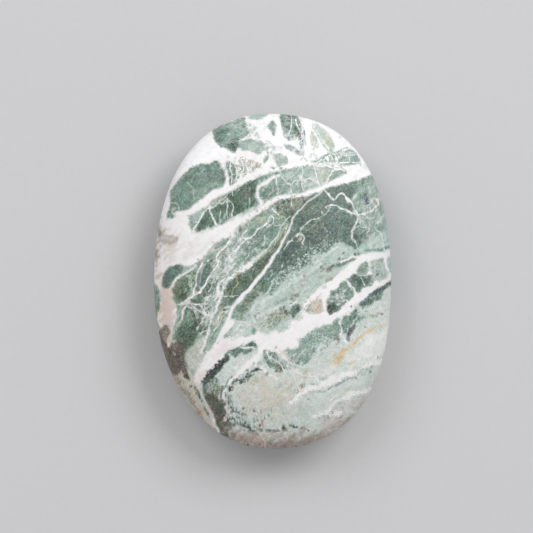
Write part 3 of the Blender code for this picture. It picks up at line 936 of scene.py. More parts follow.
hair(BLUSH, 1.2, (296.5, 236.5), (299, 234.5), (303, 235.5), (304.7, 239), (303, 242.5), (303.5, 244.5))
sprinkle(BLUSH, 8, 300, 239, 4, 4, radius=0.6)
dots(BEIGE, 1.1, (298.3, 241.5), (301, 238.5))
dots(BROWN, 1.1, (300, 243.5))
hair(BLUSH, 1.2, (289, 243), (286.5, 246), (284, 249))
hair(WHITE, 2.0, (357, 213), (357.5, 219.5), (356.5, 222), (355.5, 225.5), (354, 228), (352.5, 231),
    (352, 234), (351.5, 238))
hair(WHITE, 1.5, (352, 238), (355.5, 241))
dots(DEEP, 1.2, (358, 223.5))
hair(WHITE, 1.5, (362, 213), (365, 216), (368, 219), (370.5, 219))
hair(PALE_MINT, 1.4, (374, 217.5), (371, 219), (370.5, 222), (371, 226), (374, 227), (378, 231),
    (380.5, 233), (382, 237), (383.5, 242), (384, 248), (384.5, 252))
hair(PALE_MINT, 1.2, (369.5, 228), (369, 231), (366, 233))
hair(PALE_MINT, 1.2, (362, 227.5), (368, 227))
hair(PALE_SAGE, 1.1, (357, 228), (363, 225), (370, 226), (376, 228))
hair(MINT, 1.0, (352, 240), (356, 244), (359, 250), (366, 253))
sprinkle((150, 172, 162), 60, 318, 230, 44, 24, turn=25, radius=0.5)
sprinkle(PALE_SEA, 30, 286, 266, 26, 12, turn=42, radius=0.6)
sprinkle(PALE_MINT, 16, 284, 272, 20, 9, turn=42, radius=0.9)
sprinkle(PALE_MINT, 56, 302, 266, 60, 9, turn=33, radius=0.6, strength=0.8)
sprinkle(MOSS, 44, 312, 264, 34, 9, turn=35, radius=0.6, strength=0.7)
sprinkle(DEEP, 26, 312, 232, 40, 20, turn=25, strength=0.7)
tint(DARK, 350, 226, 6, 12, 0.7)
dots(DARK, 1.2, (365, 229), (365, 237), (359.5, 242.5))
streak(SEA, 1.5, (366, 250.5, 2), (375, 250, 2), (389, 248, 3))

# The forked vein that leaves the right rim, and the cells held between its branches.
white((440, 230), (392, 251.5), (383, 255), (375, 257), (368, 259), (361, 261), (356, 266), (350, 272),
    (344, 278), (337, 283), (330, 287), (322, 294), (318, 300), (324, 303), (325, 312), (318, 322),
    (335, 317), (346, 312), (353, 304), (361, 298), (370, 291.5), (378, 287), (386, 282.5), (392, 276),
    (440, 262))
vein((440, 232, 6), (391.5, 250.5, 3), (383, 254, 4.5), (375, 255.5, 6), (368, 257, 7), (362, 258.5, 7),
    (358, 261, 7), (352, 267, 8), (347, 271.5, 8), (342, 276, 8.5), (337, 280, 8), (332, 284, 7),
    (327, 287.5, 8), (322, 290, 7), (318, 293, 6), (313, 297, 5), (309, 301, 4), (305.5, 304, 3.5),
    (303.5, 308, 3), (303, 314, 3))
vein((440, 262, 4), (392, 275, 3), (390, 278, 3), (386, 281.5, 3), (381, 284, 4), (377, 285.5, 5),
    (373, 287.5, 6), (368, 291, 7), (364, 294.5, 7.5), (360, 297, 8), (356, 299.5, 8), (352, 303, 8),
    (348, 307, 8.5), (345, 311, 9))
island(SAGE, (357, 268), (359.5, 265.5), (362, 263.5), (365, 262), (368, 262), (368.5, 265), (369.5, 268),
    (369, 271), (366, 273), (366, 274.5), (362, 275), (358, 275), (356.5, 272))
tint(TAUPE, 365.5, 268, 2.5, 4, 0.8)
island(PALE_SAGE, (370, 262), (376, 259.5), (384, 258), (385, 263), (386, 268), (388.5, 272), (388, 276),
    (385, 279), (381, 281), (379.5, 283), (378, 281), (375, 281), (374, 278), (372, 273), (371, 267))
tint(OLIVE, 374, 268, 2.5, 2.5, 0.6)
tint(TAUPE, 380, 259, 4, 2, 0.5)
dots(MOSS, 1.2, (377, 274.5))
island(PALE_SEA, (387, 257), (395, 255), (440, 245), (440, 258), (392, 273), (389.5, 270), (387, 263))
island(MOSS, (351, 275), (354, 273.5), (357, 275), (362, 276), (367, 275), (371, 274.5), (373, 277),
    (373, 280), (372.5, 284), (370, 286), (368, 287), (365, 286.5), (363, 288.5), (361.5, 289),
    (361.5, 292), (357, 292.5), (355, 291), (354, 288), (352, 286.5), (350, 283), (347.5, 281),
    (346.5, 279), (349, 277))
tint(DEEP, 359, 282.5, 10, 7, 0.9)
tint(GREEN, 366, 277, 6, 2.5, 0.8)
dots(INK, 1.0, (365.5, 280.5), (364.5, 287))
dots(SAGE, 1.2, (370, 283.5))
island(GREEN, (345, 280), (347.5, 283), (351, 286.5), (353, 289.5), (354.5, 293), (353.5, 297), (351, 300),
    (347, 302.5), (344.5, 305), (341, 309), (337, 312), (333, 314), (330, 315), (327, 313), (326, 308),
    (327, 304), (326.5, 300), (328.5, 296), (330, 293), (331, 290), (335, 290), (338, 287.5), (339, 285),
    (342, 282))
tint(TAUPE, 343, 286.5, 6, 4, 0.6)
tint(BLUE_GREY, 340, 297, 6, 5, 0.5)
tint(DEEP, 333, 309, 9, 7)
rock(DEEP, 2.5, (328, 305), (333, 303.5), (337, 306), (336, 311), (331, 314.5), (327, 311))
sprinkle(MILK, 26, 341, 296, 9, 7, turn=40, radius=0.8)
sprinkle((186, 182, 192), 14, 341, 297, 8, 7, turn=40)
tint(MOSS, 349, 295, 4, 5, 0.7)
dots(INK, 1.0, (327.8, 307.5), (327.8, 309.5))
dots(DARK, 1.2, (333, 302.5), (347.5, 293))
hair(PALE_MINT, 1.1, (361, 278), (363.5, 282), (365.5, 287))
hair(WHITE, 1.5, (384.5, 256), (385.5, 263), (386, 267), (388, 270.5), (389.5, 274), (390, 278))
hair(WHITE, 1.8, (358, 257), (352, 256.5), (349, 258.5), (345, 260), (341, 262))
dots(DEEP, 1.0, (355, 254.5), (358.5, 254.3))
tint(GREEN, 352, 258.5, 5, 2, 0.7)
streak((118, 140, 126), 2, (330, 268, 2), (336, 266, 3.5), (343, 262.5, 4.5), (350, 260.5, 3.5),
    (356, 258.5, 1.5))
streak(SAGE, 2, (331, 279, 1.5), (337, 275.5, 2.5), (343, 271.5, 3), (347, 267, 2), strength=0.9)
streak(OLIVE, 1.5, (326, 282, 1.2), (331, 279.5, 1.2), (336, 276, 1.2), strength=0.8)
dots(SAGE, 1.0, (321, 266.5), (321.5, 272), (303.5, 285.5), (322.5, 266.2))
tint(TAUPE, 328, 270.5, 4, 2, 0.7)
tint(KHAKI, 319, 277, 4, 3, 0.6)
tint(VIOLET, 304.5, 276.5, 3, 2, 0.8)
tint(TAUPE, 301, 288, 3, 3, 0.8)
tint(BEIGE, 302, 283, 3, 3, 0.7)
cloud(vein_tone, BLUE_GREY, 324, 287, 3, 2.5, 0.5)
rock(BEIGE, 2.5, (311, 299), (315, 297), (319, 296), (323, 298), (324, 302), (324, 307), (323, 312),
    (306, 313), (306, 307), (309, 303))
island((196, 190, 176), (311, 300), (315, 298), (319, 297), (322, 299), (323, 304), (322.5, 311),
    (315, 314), (306, 313), (306, 308), (309, 304), soft=2, fray=1.6)
tint((212, 190, 176), 318, 304, 6, 7, 0.9)
tint(SAGE, 309, 310, 4, 4, 0.7)
dots((186, 156, 136), 1.0, (314, 303), (318.5, 306), (320.5, 301), (316, 309.5), soft=1.5)
dots(GREEN, 0.8, (310, 306), (313, 311), (308, 309))
vein((327, 290, 3.5), (326, 296, 3.2), (325, 302, 3), (324.5, 307, 2.8), (325, 312, 2.5))

# Dark and pale ground right of the straight vein, down to the great white one.
streak((224, 230, 227), 4, (243, 314, 1), (258, 303, 3), (272, 296, 2), (286, 287, 3), (304, 275, 3),
    (322, 263, 2), strength=0.75)
streak((222, 228, 225), 4, (240, 330, 1), (258, 317, 3), (276, 308, 2), (292, 300, 2), strength=0.6)
streak((220, 228, 224), 3, (316, 262, 1), (328, 253, 3), (338, 247, 3), (345, 250, 2), strength=0.7)
streak(SAGE, 3, (262, 311, 1), (276, 303, 2), (288, 298, 1), strength=0.6)
streak(SAGE, 3, (300, 282, 1), (312, 275, 2), (322, 267, 1), strength=0.6)
rock((98, 118, 102), 4, (250, 292), (260, 284), (268, 284), (262, 293), (254, 302), (247, 311), (241, 319),
    (236, 320), (235, 313), (240, 305), (246, 297))
tint(OLIVE, 247, 303, 6, 4, 0.6, turn=50)
tint(PALE_SAGE, 295, 292, 8, 9, 0.8)
dots((146, 140, 132), 1.6, (294, 289.5), (297.5, 294.5), (291, 298.5), (304.5, 276.5), (327.5, 270.5),
    soft=2.5)
dots((140, 134, 128), 1.1, (302, 285.5), (298.5, 288), (321, 267), (324, 269), (292, 294), (330.5, 269.5),
    soft=2)
sprinkle((140, 136, 128), 12, 296, 291, 10, 8, turn=50, radius=0.6)
rock(MOSS, 2.5, (290, 309), (292, 306.5), (295, 305), (298, 305), (301, 306.5), (301.5, 309), (299, 313),
    (296, 315), (294.5, 317), (293, 317.5), (291, 314))
dots(DEEP, 1.5, (298, 309), (293.5, 316.5))
dots(UMBER, 1.1, (280.5, 308.5))
dots(MOSS, 1.0, (284, 309), (286.5, 311.5), (290, 303.5), (294, 301), (251, 294), (254, 292), (271, 294.5))
dots(MINT, 0.8, (287.5, 263), (287.5, 267), (273, 273), (269, 279.5), (280.5, 277.5), (281.5, 281))
dots(MINT, 1.2, (277.5, 278.5), (276, 281))
tint(BEIGE, 300, 304, 3, 3, 0.8)
hair(WHITE, 1.4, (290, 305), (295, 302.5), (298, 301))
hair(PALE_MINT, 1.1, (271, 285), (269.5, 289), (267.5, 292), (265, 294))
dots(INK, 1.8, (285.5, 312))
dots(BROWN, 1.2, (287.8, 313))
dots(DARK, 1.9, (277.5, 317))
dots(GREEN, 1.5, (275, 320), (279, 321))
dots(KHAKI, 1.6, (284, 317))
dots(OLIVE, 1.4, (269.5, 322.5))
tint(BEIGE, 262, 326.5, 4, 3, 0.8)
tint((158, 168, 144), 274, 318, 18, 6, 0.7, turn=20)
sprinkle((112, 118, 94), 46, 277, 316, 28, 7, turn=22)
sprinkle((92, 84, 72), 16, 282, 312, 22, 6, turn=22, radius=0.6)
dots(BEIGE, 1.1, (267.5, 326))
rock(SEA, 1.5, (253, 328.5), (255.5, 329), (257.5, 331), (256, 333), (254.5, 335), (252, 334.5),
    (250.5, 332))
dots(SAGE, 0.9, (244.5, 318.5), (244.5, 321), (241.5, 327), (235, 331.5), (238, 332), (252, 322),
    (256, 318.5), (266, 314), (272.5, 313), (260.5, 318))
dots(GREEN, 1.1, (248, 316.5), (255.5, 316))
rock(SAGE, 1.5, (235, 311), (240, 311), (242, 313), (240, 317), (238, 320), (235, 319.5), (231.5, 317.5),
    (233, 314.5))
streak(PALE_SAGE, 1, (232.5, 327, 2), (230.5, 330, 2.2), (228, 333, 2.2), (225, 335.5, 2.2),
    (219.5, 339.5, 1.5))
streak(PALE_SAGE, 1, (236, 330, 1.6), (235, 333, 1.8), (233, 337, 1.8), (231, 339.5, 1.4))
tint(BEIGE, 230, 342, 6, 2.5, 0.7)

# The dark masses at the left, below the pink rim.
rock(SAGE, 2, (176, 305), (181, 306), (181, 316), (180.5, 320), (179, 322), (177.5, 321.5), (176, 318),
    (175, 310))
rock((84, 104, 86), 2.5, (186, 303), (196, 299), (205, 302), (207, 311), (206, 320), (202, 330), (198, 337),
    (192, 345), (186, 350), (177, 345), (174, 338), (180, 326), (184, 316))
tint(GREEN, 187, 318, 7, 14, 0.9, turn=-15)
tint(OLIVE, 192.5, 316, 2.5, 2.5, 0.6)
tint(INK, 196, 324, 2.5, 5, 0.7)
tint(MOSS, 184, 330, 5, 8, 0.5)
dots(DEEP, 1.2, (186.5, 340.5), (190, 338), (185, 345.5))
streak(UMBER, 1.2, (177, 340, 1.8), (181, 343, 2), (185, 345, 1.6))
island((138, 130, 116), (161, 329), (163, 326), (166, 325), (168.5, 326.5), (169.5, 330), (169, 335),
    (168, 338), (166, 339.5), (164, 338.5), (162, 335), (160.5, 331))
tint(OLIVE, 166, 330, 4, 4, 0.5)
white((168, 322), (172, 324), (172.5, 331), (172, 339), (170, 346), (167, 346), (167, 340), (170, 334),
    (169.5, 328))
cloud(vein_tone, PINK, 169, 335, 5, 14, 0.9)
# The dark brown along the lower-left rim, with its umber tints, is partly the rock's own brown and partly
# painted shade.
rock((98, 88, 76), 1.8, (158, 332), (163, 339), (168, 345), (171, 342), (175, 341), (177, 343), (180, 345),
    (183, 347), (185.5, 349), (184.5, 353), (185, 358), (187, 364), (188, 371), (189, 377), (186, 379),
    (182, 372), (178, 376), (150, 372))
tint(UMBER, 178, 355, 4, 6, 0.8)
tint(UMBER, 175, 366, 5, 8, 0.7)
streak(UMBER, 1.2, (170.3, 349, 2), (170.5, 354, 2))
streak(PINK, 1, (172, 352, 1.6), (174.5, 355, 1.4))
dots(BEIGE, 1.0, (182, 358))
rock((196, 200, 190), 4, (187, 351), (195, 345), (201, 337), (208, 340), (204, 362), (197, 382), (189, 380),
    (186, 362))
tint(SAGE, 193, 372, 4, 6, 0.4)
hair(MINT, 1.5, (195.5, 310), (197, 314), (198.5, 317))
hair(MINT, 1.3, (199.5, 324), (198, 328), (197, 332))
streak(DEEP, 1.2, (200.5, 325, 2), (200.5, 332, 2))
rock((96, 116, 100), 2, (202, 312), (209, 313), (208, 330), (203, 334))
streak(DARK, 1, (201.2, 314, 2), (201.5, 318, 2))
streak(DARK, 1, (203, 319, 1.5), (207, 318.5, 1.5))
dots(DARK, 1.1, (207.5, 322.5), (203, 334))
hair(WHITE, 2.0, (200, 311.5), (203, 314), (206, 315.5), (209, 314))
hair(MILK, 1.5, (202.5, 319), (205, 317), (208, 316))
hair(MILK, 1.2, (200.5, 323.5), (203, 321))
hair(MILK, 1.5, (200, 333), (205, 331), (208, 330))
rock(SAGE, 1.3, (215, 311), (213, 315), (211.5, 319), (210, 323), (209.5, 326), (212, 327), (214.5, 325.5),
    (214, 322), (215.5, 318), (216, 315), (218, 312), (217, 310))
hair(BEIGE, 1.5, (222, 310), (219, 313.5), (217.5, 316), (216.5, 319), (215.5, 323))
tint(KHAKI, 221, 316.5, 2, 3, 0.7)
tint(SAGE, 219, 322.5, 3, 3, 0.7)
rock(SAGE, 1.5, (209, 328), (212, 327), (216, 328), (218.5, 330), (218, 333), (217.5, 336), (216, 339),
    (214.5, 342), (212.5, 345), (210.5, 348), (209, 351), (206, 351), (204, 353), (203, 350), (205, 346),
    (206.5, 342), (208, 338), (209.5, 334))
dots(GREEN, 1.2, (213, 337), (217, 336))
rock((204, 196, 180), 3, (176, 376), (190, 378), (198, 386), (199, 398), (212, 422), (217, 432), (190, 440),
    (170, 400))
# A taupe band along the lower-left rim: partly the rock's brown and partly painted shade.
streak(TAUPE, 3, (174, 376, 4), (182, 388, 4), (192, 402, 4), (204, 422, 4), (212, 436, 4), strength=0.6)
streak(UMBER, 1, (184, 376, 2.4), (186, 377, 3), (189, 379, 2.2))
streak(PINK, 1, (181.5, 371, 1.8), (182, 377, 1.8))
streak(UMBER, 1, (186.5, 370, 1.5), (188, 376, 1.8))
dots(DEEP, 1.4, (191.5, 386))
streak(GREEN, 1.2, (195, 386, 2), (197, 390, 2))
streak(DEEP, 1.2, (198.5, 391, 2), (199.5, 395, 2.4), (200, 399, 2.4))
dots(OLIVE, 1.3, (197, 393), (201.5, 401.5))
tint(RUST, 200, 414, 4, 6, 0.6)
streak(OLIVE, 1.2, (205, 408, 1.8), (207, 411, 2), (208.5, 414, 2), (209.5, 418, 2), strength=0.8)

# The great white vein across the lower half, its pale tail, and the band of near black below it.
white((216, 341), (219, 340), (228, 338.5), (240, 337), (252, 336.5), (257, 332), (260, 331.5), (263, 333),
    (266, 335.5), (270, 334), (272, 331.5), (276, 331), (279, 333), (282, 332), (286, 330.5), (290, 327),
    (291, 322), (294, 320.5), (298, 321), (301, 319), (303, 313), (310, 314), (318, 314), (324, 312),
    (330, 315), (337, 313), (344, 306), (352, 300), (356, 303), (352, 309), (349.5, 313), (347, 315),
    (344, 315), (341, 316), (340, 318), (337.5, 317.5), (335, 319), (332, 321), (331.5, 323), (328, 324),
    (325, 324.5), (322, 325.5), (318, 326.5), (315, 327.5), (313, 330), (309, 332), (306.5, 334),
    (305, 336.5), (303, 338), (300, 339), (297, 341), (298, 345), (296, 347), (293, 347.5), (290, 349),
    (287.5, 347), (284, 350), (280, 354), (276, 351.5), (270, 350), (266, 349.5), (263, 351), (261, 356),
    (258, 361), (255, 360), (257.5, 356), (259, 350), (258, 346), (255, 341.5), (252, 340), (249, 341.5),
    (246, 343), (242, 344.5), (239, 346), (235, 347), (231, 348), (228, 349.5), (226, 352), (224.5, 354.5),
    (223, 357), (221, 359), (218, 360), (217, 362.5), (214.5, 364.5), (213, 366.5), (211, 369),
    (208.5, 371.5), (206, 374), (204, 376.5), (201.5, 378.5), (200, 382), (199, 386), (198, 388.5),
    (196.5, 385), (195.5, 380), (196, 374), (199, 368), (203, 361), (205, 357), (207, 353), (210, 350),
    (212.5, 346), (214.5, 343), fray=0.9)
hair(PINK, 2.0, (197.5, 385, 3), (199.5, 391, 1.8), (201.5, 394.5, 1.7), (203.5, 398, 1.7), (205, 401, 1.8),
    (206.5, 404, 1.9), (208.5, 407, 2.1), (210, 410, 2.6), (211.5, 413, 3), (212, 416, 3.4))
vein((211, 412, 1), (212, 416, 2.4), (213, 420, 3.2), (214.5, 424, 3.6), (216, 427, 3.2), (217.5, 430, 2.8),
    (218, 436, 2.6), (222, 460, 2.6), glow=1, fray=0.15)
cloud(vein_tone, BLUSH, 222, 350, 22, 16, 0.7)
cloud(vein_tone, BLUSH, 203, 378, 12, 16, 0.8)
cloud(vein_tone, PINK, 212, 416, 12, 18, 0.95)
cloud(vein_tone, MILK, 262, 341, 30, 9, 0.5)
dots(BEIGE, 1.1, (347, 313.5), (218, 342.5))
dots(BLUE_GREY, 1.3, (275.5, 347.5))
dots(PALE_BLUE, 1.2, (296.5, 319), (302.5, 316.5), (301, 313))
island(BEIGE, (283, 350.5), (285, 350.5), (285, 353), (283, 353))
rock(GREEN, 1.5, (252, 341), (255, 341.5), (256.5, 344), (257.5, 346.5), (256.5, 348), (254, 347),
    (250, 346), (245, 346.5), (240, 347), (241, 345.5), (245, 344.5), (249, 343))
rock(GREEN, 1.5, (228, 350), (232, 348.5), (238, 347.5), (244, 348.5), (250, 348.5), (254, 349.5),
    (252, 351), (248, 353), (244, 354.5), (242, 353), (239, 355), (235, 357), (232, 355), (229, 354),
    (226.5, 354))
tint(DARK, 251, 344.5, 6, 2.5, 0.8)
dots(DEEP, 1.0, (251.5, 343.3), (254.5, 344.5), (256.3, 346.8))
rock(MOSS, 1.5, (225, 354), (228, 355), (228.5, 357), (227, 359), (224.5, 360), (222, 361), (221, 359),
    (223, 357))
hair(WHITE, 1.2, (240, 347.5), (246, 347.5), (252, 347), (255, 349))
rock(INK, 1.6, (219.5, 359), (225, 359.5), (224.5, 361.5), (222, 363.5), (224, 364), (223, 366),
    (220, 366.5), (218.5, 369), (216, 371), (214.5, 374), (214, 376), (213.5, 378), (210, 377.5),
    (207.5, 379), (208.5, 381), (209, 384), (206.5, 382), (204.5, 384), (205, 386.5), (206, 389.5),
    (207, 392), (206, 394), (204, 391.5), (203, 389), (202.5, 386), (201.5, 383.5), (200.8, 381),
    (201.5, 378.5), (204, 376.5), (206, 374), (208.5, 371.5), (211, 369), (213, 366.5), (214.5, 364.5),
    (217, 362.5))
streak((50, 66, 64), 2, (227, 358.5, 3), (222, 362, 6), (217.5, 367, 8), (213, 372.5, 8.5), (208, 378, 8),
    (204.5, 384, 5.5), (205, 391, 4), (207.5, 398, 4))
streak(INK, 1.5, (223, 361, 4), (218, 366, 6), (213, 371.5, 6), (207, 377.5, 4.5))
sprinkle(INK, 22, 211, 377, 9, 6, turn=45, radius=0.9)
tint(MOSS, 207.5, 379, 2.5, 2.5, 0.6)
rock((142, 150, 138), 3, (207, 383), (215, 379), (220, 388), (218, 396), (208, 396), (204, 388))
sprinkle(DARK, 20, 211, 389, 6, 8, radius=0.8)
sprinkle(PALE_MINT, 14, 212, 388, 6, 8, radius=0.8)
streak(MOSS, 1.5, (203, 385, 2.5), (205, 391, 2.5), (207, 395, 2))
streak(GREEN, 1.2, (217, 380, 1.3), (217.3, 386, 1.3), (216.5, 391, 1.3))
dots(MOSS, 1.2, (207.5, 387), (214, 390))
tint(PALE_BEIGE, 209, 390, 3, 4, 0.7)
rock((98, 101, 88), 2, (205, 394), (210, 393), (217, 395), (218, 399), (222, 399), (225, 402), (226, 406),
    (226, 410), (228, 414), (227, 418), (230, 421), (233, 425), (231, 429), (228, 432), (230, 439),
    (224, 447), (216, 432), (215, 422), (212, 414), (208, 405), (205, 399))
tint((80, 86, 76), 219, 413, 9, 12, 0.8)
tint(UMBER, 222, 429, 4, 4, 0.6)
tint(SAGE, 223, 411.5, 2.5, 2.5, 0.7)
streak(UMBER, 1.2, (215, 413.5, 2.2), (219, 415, 2.4), (223, 417, 2.2))
dots(UMBER, 1.3, (218.5, 421.5), (222, 429.5))
dots(SLATE, 1.3, (213.5, 412), (215, 416))
streak(KHAKI, 1.5, (219, 386, 2), (219, 393, 2.5), (219, 398, 2), strength=0.6)
streak(DARK, 1.2, (222.5, 387, 2), (221.8, 391, 2.2), (221.5, 397, 2))
hair(TAUPE, 1.4, (224.5, 418), (222.5, 421), (219.5, 422.5))

# The second white vein in the tail, with the dark threads beside it.
vein((261, 346, 4), (260, 352, 4.4), (257.5, 357, 5.4), (254, 361, 6), (250, 363.5, 6), (247, 366, 5.4),
    (243, 370, 4.8), (239, 373, 4.2), (235, 377, 3.6), (232, 379.5, 3.2), (229.5, 383, 3),
    (227.5, 387, 2.6), (225.5, 390.5, 2.2), (224, 393, 1.9), (223.5, 397, 1.6), (224.5, 400, 1.6),
    (226, 403, 1.4), (226.5, 406, 1.4), (225, 408.5, 1.6), glow=1.2, fray=0.25)
vein((250, 362, 2.6), (254, 364.5, 2.6), (258, 366.7, 2.2), (262, 368.3, 2.2), (265, 371, 2.4),
    (268, 373, 1.8), (272, 376, 1.6), (275, 378, 1.2), (278, 380, 0.8), glow=1.5, fray=0.3)
hair(PINK, 2.4, (227.5, 411), (228, 414), (226.5, 417), (225.5, 419.5))
dots(SAGE, 1.3, (254, 363.5))
streak(SEA, 1.2, (231, 377, 1.8), (228, 381, 2), (227, 384, 1.8), (225, 387, 2), (223, 389, 2),
    strength=0.9)
dots(INK, 1.5, (236.8, 379))
streak(SLATE, 1, (234.5, 381, 1.8), (232.5, 383.5, 1.8))
streak(INK, 1, (229.5, 387.5, 1.8), (229, 391, 2.2))
dots(TAUPE, 1.3, (232, 387), (248, 370))
dots(DEEP, 1.4, (241.5, 381))
tint(BLUE_GREY, 243.5, 377.5, 3, 3, 0.8)
dots(VIOLET, 1.2, (238.8, 379.5))
dots(GREEN, 0.9, (244.5, 381))
streak(INK, 1.6, (259, 369.5, 1), (255, 370, 1.6), (251, 371.5, 2.4), strength=0.85)
streak((48, 66, 78), 1.6, (250, 373, 1.6), (246.5, 376.5, 1.6), strength=0.8)
streak(INK, 1.2, (242.5, 378.5, 1), (239, 379.5, 1.3), (236, 381.5, 1.2), strength=0.8)
streak((60, 86, 88), 1.2, (254, 374, 1.6), (250, 377, 1.8), (247.5, 380, 1.4))
streak(INK, 1, (256, 368.6, 1.6), (259, 369.4, 2), (262.5, 369.9, 1.4))
dots(SEA, 1.5, (267, 373.3))
sprinkle(INK, 16, 248, 373.5, 16, 3, turn=28, radius=0.6)
sprinkle((58, 82, 92), 26, 240, 380, 14, 4, turn=42, radius=0.6)
sprinkle(DEEP, 16, 229, 396, 3, 10, radius=0.8)
tint(SAGE, 229, 396, 5, 6, 0.7)
dots(SLATE, 1.3, (225.5, 396.5), (231.5, 396))
streak(SAGE, 1.5, (228.5, 400, 2), (228.5, 405, 2), (228, 410, 2))
dots(GREEN, 1.0, (232.5, 402.5), (238, 404.5), (243.5, 408.5))
dots(INK, 1.3, (236.5, 408), (233, 409.5))
streak(MOSS, 1, (237, 410, 1.6), (239, 412.5, 1.6))
dots(DARK, 1.1, (231.5, 414), (233.5, 412.5), (236, 413), (242, 413.5))
dots(SAGE, 1.3, (245.5, 414.5), (231, 408))
streak(DEEP, 1, (226, 422, 2), (229, 420.5, 2.6), (231, 418.5, 2), (235, 418, 1.8), (237.5, 417, 1.8),
    (239.5, 419, 1.4))
streak(SEA, 1, (235, 421, 2), (235, 424, 2.2))
streak(SLATE, 1, (231, 424.5, 1.2), (237, 424.5, 1.3), (240, 424.5, 1))
dots(SLATE, 1.3, (243, 424.5))
streak(DEEP, 1, (246, 426, 1.8), (249, 427, 2.2), (250.5, 428.7, 1.8))
streak(SLATE, 1, (240, 430.5, 1), (250, 430, 1.6), (253, 431.5, 1.8), (258, 433, 1.4), strength=0.8)
streak(SLATE, 1, (252, 411.5, 1.6), (256, 411.2, 1.6))
dots(SAGE, 1.3, (261, 410.5), (271, 410.5), (282.5, 411), (254, 418.5), (254, 422.5))
dots(GREEN, 1.0, (254.5, 426.5), (296.5, 416.5))
tint((192, 122, 66), 262.4, 422, 2.6, 4)
dots(DARK_OLIVE, 0.9, (260.5, 426))
sprinkle(DEEP, 26, 242, 412, 22, 10, turn=-10, radius=0.5)
sprinkle((70, 92, 84), 30, 238, 420, 14, 6, turn=-10, radius=0.6)
streak((72, 92, 84), 1, (229, 414, 1), (233, 411.5, 1.4), (237, 412, 0.8), (240, 414.5, 1.2),
    (243, 414, 0.6))
streak((72, 92, 84), 1, (231, 421, 1), (235, 418.5, 1.4), (239, 419.5, 1), (241, 422.5, 1.2),
    (238, 424.5, 0.6))
streak((84, 102, 94), 1, (227, 403, 1), (230.5, 405, 1.2), (231, 409, 0.8))
sprinkle((96, 108, 100), 34, 266, 424, 40, 7, turn=-6, radius=0.5)
sprinkle((120, 110, 100), 30, 262, 441, 44, 5, radius=0.6)
streak(DEEP, 1, (237, 424, 0.8), (244, 426, 1.2), (251, 429.5, 1.2), (259, 430.5, 1.2))
streak(INK, 1, (259.5, 430.3, 1.2), (262, 429.5, 2.2), (265, 429.6, 1.2), (268, 430.3, 1.6), (272, 430, 1),
    (277, 430.6, 0.8), (281, 430, 1.4), (284, 429.6, 2.4), (287, 430, 1.2))
streak(MOSS, 1, (289.5, 426, 1.2), (291, 424.6, 1.4), (293, 424.8, 1.4), (294.2, 426, 1.2))
streak(DEEP, 1, (293, 427, 1), (296, 427.2, 1.5), (299, 427.7, 1.2))
streak(DEEP, 1, (301.5, 427.5, 1.2), (303.5, 428.2, 1.8), (308.5, 430.3, 1.6))
hair(PINK, 1.8, (264, 432), (262, 435), (263, 438), (265, 441), (265.5, 448))
# Round the tail's rim the rock darkens to brown-grey in two bands: partly its own brown, and partly painted
# shade with a warm painted reflection.
rock((176, 163, 152), 14, (226, 438), (244, 433), (266, 433), (292, 435), (316, 432), (336, 424),
    (354, 411), (370, 396), (400, 380), (400, 500), (210, 500))
rock((142, 131, 120), 14, (228, 444), (246, 446), (266, 445.5), (292, 446), (318, 442), (342, 430),
    (362, 414), (400, 400), (400, 500), (210, 500), strength=0.8)
tint((206, 196, 192), 334, 416, 30, 12, 0.8, turn=38)
sprinkle(UMBER, 16, 262, 446, 44, 4, radius=0.6)
rock((176, 186, 176), 12, (206, 461), (262, 465), (320, 460), (370, 438), (430, 400), (430, 520),
    (200, 520))
tint(SAGE, 262, 486, 36, 12, 0.8, turn=10)
tint(PALE_MINT, 316, 480, 30, 12, 0.8, turn=25)

# Green ground under the great vein, dissolving into pale rock.
rock((126, 146, 133), 2, (263, 352), (264, 350), (266, 349.5), (268, 351), (270, 350), (273, 350),
    (276, 352), (279, 354.5), (282, 357), (284.5, 360), (288, 366), (280, 372), (272, 368), (266, 364),
    (263.5, 358))
streak(GREEN, 1, (265.5, 351, 2.2), (265.5, 356, 2.5), (267, 360, 2.2))
tint(GREEN, 275, 353, 5, 3, 0.7)
hair(PALE_MINT, 1.2, (268, 350), (268, 355), (270, 359))
streak(MOSS, 1.2, (266.5, 360, 2), (267.5, 363, 2), (269, 365, 2), (270.5, 368, 2))
tint(BLUE_GREY, 260, 364, 4, 3, 0.7)
streak(BROWN, 1.2, (277, 366, 2.2), (279, 367.5, 2.4), (281, 368, 2.6), (283.5, 369, 2.8))
dots(OCHRE, 1.0, (278.5, 369.5))
streak(KHAKI, 1.2, (277, 371.5, 1.8), (281, 371.5, 2))
rock(SAGE, 2, (287, 349), (297, 348), (302, 342), (305, 352), (300, 364), (291, 370), (286, 364),
    (284, 356))
tint(GREEN, 289, 367, 4, 4, 0.7)
tint(GREEN, 298, 362, 4, 4, 0.6)
tint(GREEN, 293.5, 352.5, 2.5, 3, 0.7)
hair(BLUSH, 1.8, (280, 350), (284, 355), (288, 361), (291, 363), (292.5, 366), (292, 369), (290, 371))
hair(PALE_MINT, 1.8, (292, 363), (295, 364.5), (298, 366), (302, 367))
rock(SAGE, 2.5, (303, 337), (307, 333), (312, 330), (318, 327), (326, 325), (332, 322), (337, 318),
    (341, 317), (342, 324), (341, 334), (334, 340), (326, 339), (319, 345), (312, 357), (304, 364),
    (299, 356), (300, 345))
tint(GREEN, 334, 325, 6, 6, 0.6)
tint(PALE_SAGE, 310, 350, 9, 9, 0.5)
dots(BROWN, 1.3, (337.5, 336), (338, 339.5), (334, 339.5))
dots(MILK, 0.9, (333, 337))
dots(BLUE_GREY, 1.1, (324, 337.5), (323.5, 343.5), (327, 342), (327.5, 345), (330.5, 341.5), (325, 348.5),
    (339, 348), (323, 353.5))
tint(GREEN, 306, 361, 6, 4, 0.7)
dots(GREEN, 1.2, (307, 361.5), (302.5, 364.5))
